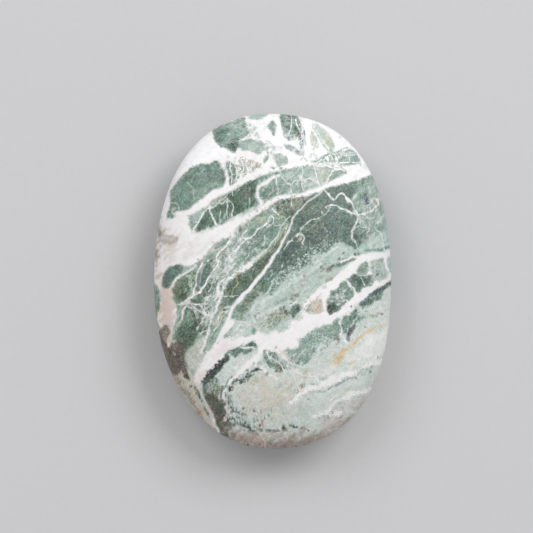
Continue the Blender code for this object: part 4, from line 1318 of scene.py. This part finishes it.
sprinkle((128, 150, 138), 70, 328, 341, 26, 12, turn=30, radius=0.6)
sprinkle(PALE_MINT, 40, 318, 342, 22, 12, turn=30, radius=0.6)
hair(WHITE, 1.8, (342, 317), (340.5, 320), (339, 322.5), (340, 325), (341.5, 329), (342, 332),
    (340, 334.5, 2.6), (343.5, 337), (345, 340), (347, 342.5))
rock(GREEN, 2, (343, 317), (351, 315), (352, 324), (348, 328), (346, 334), (343, 333), (341, 325))
rock(GREEN, 2.5, (350, 313), (352, 310), (357, 309), (358.5, 312), (357, 316), (354, 319), (351, 320),
    (348, 321))
dots(DEEP, 1.2, (355.5, 311))
streak(GREEN, 2.5, (353.5, 324, 1), (358, 321, 3), (361, 319, 3), (363.5, 316, 2))
sprinkle(PALE_SEA, 30, 357, 317, 10, 8, turn=40)
sprinkle(MOSS, 20, 356, 318, 12, 8, turn=40, radius=0.6)
rock(SLATE, 1.8, (348, 327), (352, 326), (355, 325), (354.5, 328), (353, 331), (352, 335), (350.5, 338),
    (350, 341), (347, 341), (346, 337), (347, 333), (348, 330))
dots(INK, 1.2, (350.5, 331), (348.5, 333.5))
tint(KHAKI, 372.5, 316, 4, 3, 0.7)
dots(TAUPE, 1.2, (377, 316.5), (378.5, 313), (382, 313.5), (364, 327))
rock(GREEN, 2, (392, 278), (389, 280.5), (385.5, 283), (383, 285.5), (378, 288), (374, 291), (371.5, 294),
    (368, 296.5), (364.5, 299), (362, 302), (361, 305), (364, 307), (368, 306), (372, 304), (375.5, 300),
    (380, 300), (383, 295), (386, 289), (392, 283), (440, 270), (440, 262))
streak((72, 94, 96), 3, (361, 304, 3), (368, 299, 5), (375, 294, 6), (382, 289, 5), (390, 283, 6),
    (430, 268, 6))
streak(DEEP, 1.5, (374, 292, 2.5), (379, 289.5, 2.5), (383, 286.5, 3), (388, 282.5, 3.5), (395, 278, 3.5),
    (430, 266, 4))
sprinkle(PALE_SEA, 14, 374, 298, 14, 5, turn=40)
tint(DARK, 369, 301, 6, 4, 0.7, turn=40)
dots(SLATE, 1.2, (351.5, 306.5))
dots(TAUPE, 1.0, (356, 307.5), (378, 357.5))

# Ochre that soaked into the pale rock, and the soft white veins at the tail's right.
streak((216, 192, 150), 3, (385, 325, 1.5), (381, 326.5, 2), (378, 328, 2.8), (374, 328.8, 2.8),
    (370, 330.5, 2.8), (367, 332, 2.6), (364, 333.5, 2.6), (361, 335.5, 2.6), (358, 338, 2.6),
    (357, 341, 2.6), (354.5, 344, 3), (352, 346.5, 3), (349, 348.5, 3), (345, 350, 3), (342, 352.5, 3.5),
    (339, 355.5, 3.5), (336, 359, 3.5), (333, 361, 3), strength=0.8)
tint(RUST, 355, 343.5, 3, 3, 0.25)
tint((214, 182, 132), 340, 357, 11, 6, turn=35)
tint((216, 196, 158), 331, 362, 9, 3, 0.8)
tint((214, 188, 144), 338, 363, 5, 6, 0.9)
tint(OCHRE, 352, 363, 6, 2.5, 0.6)
tint(OCHRE, 305, 377, 5, 3, 0.6)
tint(BEIGE, 290, 385, 8, 6, 0.7)
tint(PALE_OLIVE, 308, 371, 8, 5, 0.7)
tint(PALE_OLIVE, 254, 381, 8, 7, 0.6)
tint(PALE_BEIGE, 266, 392, 16, 12, 0.7)
tint(PALE_OLIVE, 347, 389, 6, 3, 0.6)
tint(PALE_BLUE, 281.5, 386, 4, 4, 0.7)
tint(SAGE, 324, 379, 6, 3, 0.5)
vein((420, 345, 4), (385, 360, 2.6), (378, 362, 2.4), (372, 363, 2.8), (367, 365, 2), (362, 367.5, 2.2),
    (358, 370, 1.6), (354, 373, 2.6), (349, 374, 4), (345, 373.5, 3.4), (342, 375, 3), (338, 379, 5),
    (335, 380, 6), (331, 380.5, 7), (327, 383.5, 5), (322, 384, 4.2), (320, 386.5, 3.4), (317, 387.5, 3),
    (313, 387.5, 3), (309, 389, 3.4), (305, 391, 3.4), (302, 393, 2.8), (299, 395.5, 2.6),
    (297, 397.5, 2.2), (293.5, 400.5, 1.6), (290, 404, 1), (287.5, 408, 0.5), glow=3, fray=1.2)
vein((420, 375, 5), (372, 389, 2.6), (365, 392, 2.2), (358, 393, 2.4), (352, 394, 5), (347, 397, 3),
    (342, 398.8, 2), (337, 400.5, 1.2), (333, 403, 0.8), (331, 406, 0.8), (329, 409.5, 1.8),
    (326, 412.5, 2.6), (322, 414, 2.2), (318, 415.5, 1.4), (313, 417, 0.6), glow=4, fray=1.4)
vein((331, 414, 1.4), (336, 413, 2.4), (341, 412.5, 1.8), glow=4, fray=1.8)
hair(MILK, 1.2, (265, 351), (271, 358), (279, 364), (286, 372))
hair(PALE_MINT, 1.1, (262, 356), (268, 366), (274, 373))
hair(MILK, 1.2, (284, 358), (290, 366), (297, 372), (303, 375))
hair(PALE_MINT, 1.1, (276, 352), (283, 361), (289, 369), (291, 378), (289, 386))
hair(PALE_MINT, 1.0, (298, 366), (306, 368), (313, 366))
hair(BLUSH, 1.3, (293, 366.5), (295, 376), (296, 383), (298.5, 388), (301.5, 391))
hair(MILK, 1.4, (309.5, 376), (314, 376.5), (317, 378), (319.5, 383))
hair(BLUSH, 1.2, (340, 394), (334, 397), (329, 401))
cloud(vein_tone, MILK, 330, 380, 30, 16, 0.8)
cloud(vein_tone, MILK, 345, 398, 40, 20, 0.8)
streak(BLUE_GREY, 2, (336, 386, 2.5), (340, 382, 3), (345, 380, 2.6), (348, 378.7, 2.6), (351, 378, 3),
    (355, 378, 3), strength=0.9)
dots(SAGE, 1.0, (343.5, 381.5), (351.5, 379.5), (344.5, 377), (347.8, 376.5))
streak(PALE_SEA, 2, (360, 369.5, 2), (368, 369, 2), strength=0.9)
streak(SAGE, 1.5, (355.5, 374, 1.8), (359, 371.3, 2), strength=0.8)
tint(PALE_SEA, 363, 373, 4, 3, 0.7)
dots(GREEN, 1.1, (370, 371.5))
dots(SAGE, 0.8, (371.5, 365.5), (371.5, 367.3))
dots(BLUE_GREY, 1.3, (332, 387), (329, 388.5), (306.5, 388.5), (332, 411.5), (359.5, 394.5), (346.5, 400))
dots(SAGE, 1.1, (311.5, 384), (314, 384.5), (304, 385.5), (343, 407), (353.5, 398), (302.5, 396.5),
    (309, 399))
streak(SAGE, 1, (320.5, 387, 1.3), (320.5, 391, 1.3))
streak(KHAKI, 1, (301.5, 385, 1.6), (302, 388, 1.8))
streak(PALE_SAGE, 2, (310, 391, 2), (318, 391.5, 2), (325, 391.5, 2), strength=0.8)
streak(SAGE, 1.5, (297, 386, 2), (298.5, 390, 2.2), (296.5, 394.5, 2), strength=0.8)
tint(PALE_SAGE, 338.5, 403.5, 5, 4, 0.8)
dots(BLUE_GREY, 1.2, (324, 416.8), (328, 416), (329.5, 417.6), (319.5, 417.5), (339.5, 417.5))

# How grainy the rock is: pale specks, dark specks, and how strongly its tone is mottled.
PALE_SPECKS = (1, 0, 0.6)
DARK_SPECKS = (0, 1, 0.6)
ONLY_MOTTLED = (0, 0, 0.9)
SMOOTH = (0, 0, 0.15)
for specks, *place in (
    (PALE_SPECKS, 284, 277, 26, 12, 0.9, 40),
    (PALE_SPECKS, 306, 262, 44, 15, 0.95, 36),
    (PALE_SPECKS, 320, 345, 24, 10, 0.8, 30),
    (PALE_SPECKS, 240, 325, 18, 14, 0.3),
    (DARK_SPECKS, 325, 268, 28, 12, 0.5, 35),
    (DARK_SPECKS, 250, 412, 34, 16, 1.0, -15),
    (DARK_SPECKS, 235, 415, 14, 16, 1.0),
    (DARK_SPECKS, 275, 430, 40, 8, 0.5),
    (SMOOTH, 290, 446, 70, 14, 0.8),
    (SMOOTH, 192, 190, 30, 26, 0.7),
    (SMOOTH, 334, 360, 16, 10, 0.8),
    (SMOOTH, 340, 395, 50, 26, 0.6, 30),
    (SMOOTH, 268, 390, 24, 14, 0.6),
    (DARK_SPECKS, 192, 388, 10, 22, 0.7, -30),
    (DARK_SPECKS, 272, 318, 24, 14, 0.6, 20),
    (DARK_SPECKS, 258, 160, 36, 14, 0.6),
    (DARK_SPECKS, 372, 370, 16, 14, 0.4),
    (SMOOTH, 276, 300, 26, 9, 0.6, 25),
    (SMOOTH, 368, 343, 20, 24, 0.9),
    (ONLY_MOTTLED, 225, 265, 40, 40, 0.6),
    (SMOOTH, 218, 410, 12, 20, 0.7),
):
    cloud(grain, specks, *place)

# How thickly the rock is netted with threads that are too fine to lay one by one.
for netted, *place in (
    (1.0, 232, 252, 30, 22, 0.9, 45),
    (1.0, 212, 290, 16, 50, 0.45, -20),
    (1.0, 310, 178, 48, 14, 0.9, 10),
    (1.0, 300, 140, 36, 26, 1.0),
    (1.0, 345, 150, 20, 18, 0.8),
    (1.0, 209, 316, 9, 22, 0.7, -15),
    (1.0, 228, 268, 10, 14, 0.6),
    (0.0, 191, 326, 10, 24, 0.8, -15),
    (1.0, 370, 215, 18, 30, 0.6),
    (1.0, 377, 270, 14, 16, 0.8),
    (1.0, 285, 357, 26, 14, 0.9),
    (1.0, 320, 300, 20, 20, 0.4),
    (0.5, 260, 320, 40, 16, 0.6, 25),
    (0.2, 338, 158, 24, 7, 0.9, 16),
    (0.3, 290, 128, 9, 14, 0.9),
    (0.0, 328, 174, 14, 9, 0.9),
):
    cloud(web, netted, *place)

# Pale rock is less grainy than dark rock, and all of it is blotched a little.
DARKEST = 110
PALER_BY = 90
BLOTCH = (15, 10, 12)
paleness = np.clip((rock_tone.mean(1) - DARKEST) / PALER_BY, 0, 1)
grain[:, 2] *= 1.3 - 1.0 * paleness
blotches = wander(spots, 9, 41.5)[:, 0] + 0.7 * wander(spots, 3.5, 51.5)[:, 0]
blotches += 0.6 * wander(along_veins, 2.2, 61.5)[:, 0]
rock_tone += (blotches * (1 - 0.45 * paleness))[:, None] * BLOTCH


def linear(tones):
    """Tones on a screen's scale from 0 to 255, as the light they stand for."""
    share = np.clip(tones / 255, 0, 1)
    return np.where(share <= 0.04045, share / 12.92, ((share + 0.055) / 1.055) ** 2.4)


def keep_colour(name, tones):
    """Keeps a colour on each of the stone's points."""
    attribute = stone_mesh.attributes.new(name, "FLOAT_COLOR", "POINT")
    attribute.data.foreach_set("color", np.column_stack([linear(tones), np.ones(len(tones))]).ravel())


def keep_vector(name, values):
    """Keeps three numbers on each of the stone's points."""
    attribute = stone_mesh.attributes.new(name, "FLOAT_VECTOR", "POINT")
    attribute.data.foreach_set("vector", values.ravel())


keep_colour("rock tone", rock_tone)
keep_colour("vein tone", vein_tone)
keep_vector("hairline", np.clip(hairline, -20, 20))
keep_vector("grain", grain)
for name, values in (
    ("off white", np.clip(off_white, -FAR, FAR)),
    ("web", web.ravel()),
    ("fraying", fraying.ravel()),
):
    stone_mesh.attributes.new(name, "FLOAT", "POINT").data.foreach_set("value", values)


# The rock's finish: a satin polish over fine mottled grain. The colours come from the marks above,
# and noise in the rock's own space gives the grain, the ragged edges and the small specks.
rock_finish = bpy.data.materials.new("veined rock, satin polish")
rock_finish.use_nodes = True
nodes = rock_finish.node_tree.nodes
wires = rock_finish.node_tree.links
shader = nodes["Principled BSDF"]


def joined(node, inputs):
    """Sets a node's inputs, by name or number, to values or to other nodes' outputs."""
    for key, value in inputs.items():
        if isinstance(value, bpy.types.NodeSocket):
            wires.new(value, node.inputs[key])
        else:
            node.inputs[key].default_value = value
    return node


def mark_on_stone(name):
    """What the marks left on the stone's points under this name."""
    node = nodes.new("ShaderNodeAttribute")
    node.attribute_name = name
    return node


def sums(operation, *values):
    """One step of arithmetic in the finish."""
    node = nodes.new("ShaderNodeMath")
    node.operation = operation
    return joined(node, dict(enumerate(values))).outputs[0]


def ramp(value, low, high, to_low=0.0, to_high=1.0):
    """Turns a value between low and high into one between to_low and to_high, smoothly."""
    node = nodes.new("ShaderNodeMapRange")
    node.interpolation_type = "SMOOTHSTEP"
    numbers = {"From Min": low, "From Max": high, "To Min": to_low, "To Max": to_high}
    return joined(node, {"Value": value, **numbers}).outputs["Result"]


def grain_noise(place, scale, detail=2.0, roughness=0.55):
    """Noise in the rock's own space, with this many grains to the metre."""
    node = nodes.new("ShaderNodeTexNoise")
    settings = {"Vector": place, "Scale": scale, "Detail": detail, "Roughness": roughness}
    return joined(node, settings).outputs["Fac"]


def blended(share, colour_a, colour_b):
    """The first colour, with this share of the second in it."""
    node = nodes.new("ShaderNodeMix")
    node.data_type = "RGBA"
    joined(node, {0: share, 6: colour_a, 7: colour_b})
    return node.outputs[2]


place = nodes.new("ShaderNodeTexCoord").outputs["Object"]
fine = grain_noise(place, 3400, 2, 0.7)
edge_noise = grain_noise(place, 1600, 2)
mottle = grain_noise(place, 1100, 3)
patches = grain_noise(place, 300, 3)
flow_place = nodes.new("ShaderNodeMapping")
flow_place.vector_type = "TEXTURE"
joined(flow_place, {"Vector": place, "Rotation": (0, 0, math.radians(48)), "Scale": (4.0, 1.0, 1.0)})
flow = grain_noise(flow_place.outputs["Vector"], 2600, 2)

grain_marks = nodes.new("ShaderNodeSeparateXYZ")
wires.new(mark_on_stone("grain").outputs["Vector"], grain_marks.inputs[0])
pale_specks, dark_specks, contrast = grain_marks.outputs

unevenness = sums("MULTIPLY", sums("SUBTRACT", fine, 0.5), 2.8)
unevenness = sums("MULTIPLY_ADD", sums("SUBTRACT", mottle, 0.5), 1.3, unevenness)
unevenness = sums("MULTIPLY_ADD", sums("SUBTRACT", flow, 0.5), 1.1, unevenness)
unevenness = sums("MULTIPLY_ADD", sums("SUBTRACT", patches, 0.5), 0.6, unevenness)
brightness = sums("POWER", 2.4, sums("MULTIPLY", unevenness, sums("MULTIPLY", contrast, 2.4)))
green = nodes.new("ShaderNodeVectorMath")
green.operation = "SCALE"
joined(green, {0: mark_on_stone("rock tone").outputs["Color"], "Scale": sums("MULTIPLY", brightness, 0.9)})
warm = grain_noise(place, 1900, 1)
warmth = sums("MULTIPLY", ramp(warm, 0.52, 0.74), sums("MULTIPLY", contrast, 0.5))
green = blended(warmth, green.outputs["Vector"], (0.24, 0.21, 0.16, 1))
flecks = grain_noise(place, 4200, 1)
fleck_mask = sums("MULTIPLY", ramp(flecks, 0.58, 0.74), sums("MULTIPLY", contrast, 0.45))
green = blended(fleck_mask, green, (0.58, 0.66, 0.60, 1))

speck_noise = grain_noise(place, 2600, 1)
pale_mask = sums("MULTIPLY", ramp(speck_noise, 0.54, 0.64), pale_specks)
green = blended(sums("MULTIPLY", pale_mask, 0.75), green, (0.70, 0.77, 0.73, 1))
dark_mask = sums("MULTIPLY", ramp(grain_noise(place, 2500, 1), 0.42, 0.33), dark_specks)
green = blended(sums("MULTIPLY", dark_mask, 0.6), green, (0.19, 0.23, 0.20, 1))

# A net of threads drawn out along the veins, where the marks ask for it.
bent_place = nodes.new("ShaderNodeVectorMath")
bent_place.operation = "MULTIPLY_ADD"
bend = nodes.new("ShaderNodeTexNoise")
joined(bend, {"Vector": place, "Scale": 420, "Detail": 2})
joined(bent_place, {0: bend.outputs["Color"], 1: (0.0016, 0.0016, 0.0016), 2: place})
web_place = nodes.new("ShaderNodeMapping")
web_place.vector_type = "TEXTURE"
web_turn = (0, 0, math.radians(58))
joined(web_place, {"Vector": bent_place.outputs[0], "Rotation": web_turn, "Scale": (2.6, 1.0, 1.5)})
in_web = 0.0
for cells, thread in ((640, 0.15), (1500, 0.22)):
    net = nodes.new("ShaderNodeTexVoronoi")
    net.feature = "DISTANCE_TO_EDGE"
    joined(net, {"Vector": web_place.outputs["Vector"], "Scale": cells})
    threads = ramp(net.outputs["Distance"], thread, 0.0)
    in_web = threads if in_web == 0.0 else sums("MAXIMUM", in_web, sums("MULTIPLY", threads, 0.6))
web_strength = sums("MULTIPLY", mark_on_stone("web").outputs["Fac"], ramp(patches, 0.35, 0.6, 0.35, 1.0))
in_web = sums("MULTIPLY", in_web, web_strength)

# The veins' own colour, faintly mottled.
vein_colour = nodes.new("ShaderNodeVectorMath")
vein_colour.operation = "SCALE"
vein_brightness = sums("MULTIPLY_ADD", sums("SUBTRACT", mottle, 0.5), 0.22, 1.0)
joined(vein_colour, {0: mark_on_stone("vein tone").outputs["Color"], "Scale": vein_brightness})
vein_colour = vein_colour.outputs["Vector"]

# Where white rock begins: at the marks' edge, frayed by noise, with loose crumbs of white beyond it.
off_white_mark = mark_on_stone("off white").outputs["Fac"]
fray_mark = mark_on_stone("fraying").outputs["Fac"]
ragged = sums("MULTIPLY", sums("SUBTRACT", edge_noise, 0.5), 6.0)
ragged = sums("MULTIPLY_ADD", sums("SUBTRACT", fine, 0.5), 3.5, ragged)
in_white = ramp(sums("MULTIPLY_ADD", ragged, fray_mark, off_white_mark), 1.3, -1.1)
crumbs = sums("MULTIPLY_ADD", off_white_mark, -0.045, speck_noise)
crumbs = sums("MULTIPLY", ramp(crumbs, 0.48, 0.58), ramp(off_white_mark, 4.5, 0.0))
in_white = sums("MAXIMUM", in_white, sums("MULTIPLY", crumbs, fray_mark))

# The hairlines, drawn where a point's offset from the nearest one is less than half its width.
line = nodes.new("ShaderNodeSeparateXYZ")
wires.new(mark_on_stone("hairline").outputs["Vector"], line.inputs[0])
offset = nodes.new("ShaderNodeCombineXYZ")
joined(offset, {0: line.outputs[0], 1: line.outputs[1]})
length = nodes.new("ShaderNodeVectorMath")
length.operation = "LENGTH"
wires.new(offset.outputs[0], length.inputs[0])
from_line = sums("MAXIMUM", length.outputs["Value"], line.outputs[2])
from_line = sums("MULTIPLY_ADD", sums("SUBTRACT", edge_noise, 0.5), 3.2, from_line)
in_line = sums("MULTIPLY", ramp(from_line, 1.9, 0.4), ramp(mottle, 0.36, 0.62, 0.55, 1.0))
in_vein = sums("MAXIMUM", sums("MAXIMUM", in_white, in_line), in_web)
surface = blended(in_vein, green, vein_colour)

wires.new(surface, shader.inputs["Base Color"])
wires.new(ramp(mottle, 0.3, 0.7, 0.40, 0.50), shader.inputs["Roughness"])
shader.inputs["Specular IOR Level"].default_value = 0.35
bump = nodes.new("ShaderNodeBump")
bump.inputs["Strength"].default_value = 0.12
bump.inputs["Distance"].default_value = 0.00004
wires.new(sums("ADD", fine, sums("MULTIPLY", in_vein, 0.5)), bump.inputs["Height"])
wires.new(bump.outputs["Normal"], shader.inputs["Normal"])
stone_mesh.materials.append(rock_finish)

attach(stone, "root")
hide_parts("palm_stone")


# The floor is a plain pale board under the stone, with a matt coat and a faint tooth. It is the stage,
# and no part of the stone.
FLOOR_REACH = 1.5
BOARD_TONE = (0.560, 0.555, 0.563, 1)
BOARD_TOOTH = (0.585, 0.580, 0.588, 1)
floor_mesh = bpy.data.meshes.new("floor")
bm = bmesh.new()
bmesh.ops.create_grid(bm, x_segments=1, y_segments=1, size=FLOOR_REACH)
bm.to_mesh(floor_mesh)
bm.free()
floor = bpy.data.objects.new("floor", floor_mesh)
bpy.context.scene.collection.objects.link(floor)
floor_finish = bpy.data.materials.new("pale matt board")
floor_finish.use_nodes = True
floor_nodes = floor_finish.node_tree.nodes
floor_wires = floor_finish.node_tree.links
floor_shader = floor_nodes["Principled BSDF"]
tooth = floor_nodes.new("ShaderNodeTexNoise")
tooth.inputs["Scale"].default_value = 900
floor_wires.new(floor_nodes.new("ShaderNodeTexCoord").outputs["Object"], tooth.inputs["Vector"])
board_tone = floor_nodes.new("ShaderNodeMix")
board_tone.data_type = "RGBA"
board_tone.inputs[6].default_value = BOARD_TONE
board_tone.inputs[7].default_value = BOARD_TOOTH
floor_wires.new(tooth.outputs["Fac"], board_tone.inputs[0])
floor_wires.new(board_tone.outputs[2], floor_shader.inputs["Base Color"])
floor_shader.inputs["Roughness"].default_value = 0.9
floor_shader.inputs["Specular IOR Level"].default_value = 0.1
floor_mesh.materials.append(floor_finish)


# The light is soft: two broad lamps, high at the head's right and left, the right one stronger, and
# an even pale surround that fills the shade under the rim.
LAMP_WIDTH = 0.5
LAMP_TOWARDS_HEAD = 0.45
LAMP_HEIGHT = 0.75
bpy.context.scene.view_settings.view_transform = "Standard"
for side, across, energy in (("right", 0.42, 4.0), ("left", -0.50, 2.4)):
    lamp_data = bpy.data.lights.new(f"soft lamp at the {side}", "AREA")
    lamp_data.shape = "SQUARE"
    lamp_data.size = LAMP_WIDTH
    lamp_data.energy = energy
    lamp = bpy.data.objects.new(f"soft lamp at the {side}", lamp_data)
    lamp.location = Vector((across, LAMP_TOWARDS_HEAD, LAMP_HEIGHT))
    lamp.rotation_euler = (-lamp.location).to_track_quat("-Z", "Y").to_euler()
    bpy.context.scene.collection.objects.link(lamp)
surround = bpy.data.worlds.new("pale surround")
surround.use_nodes = True
surround.node_tree.nodes["Background"].inputs["Color"].default_value = (0.98, 0.99, 1.0, 1)
surround.node_tree.nodes["Background"].inputs["Strength"].default_value = 0.60
bpy.context.scene.world = surround
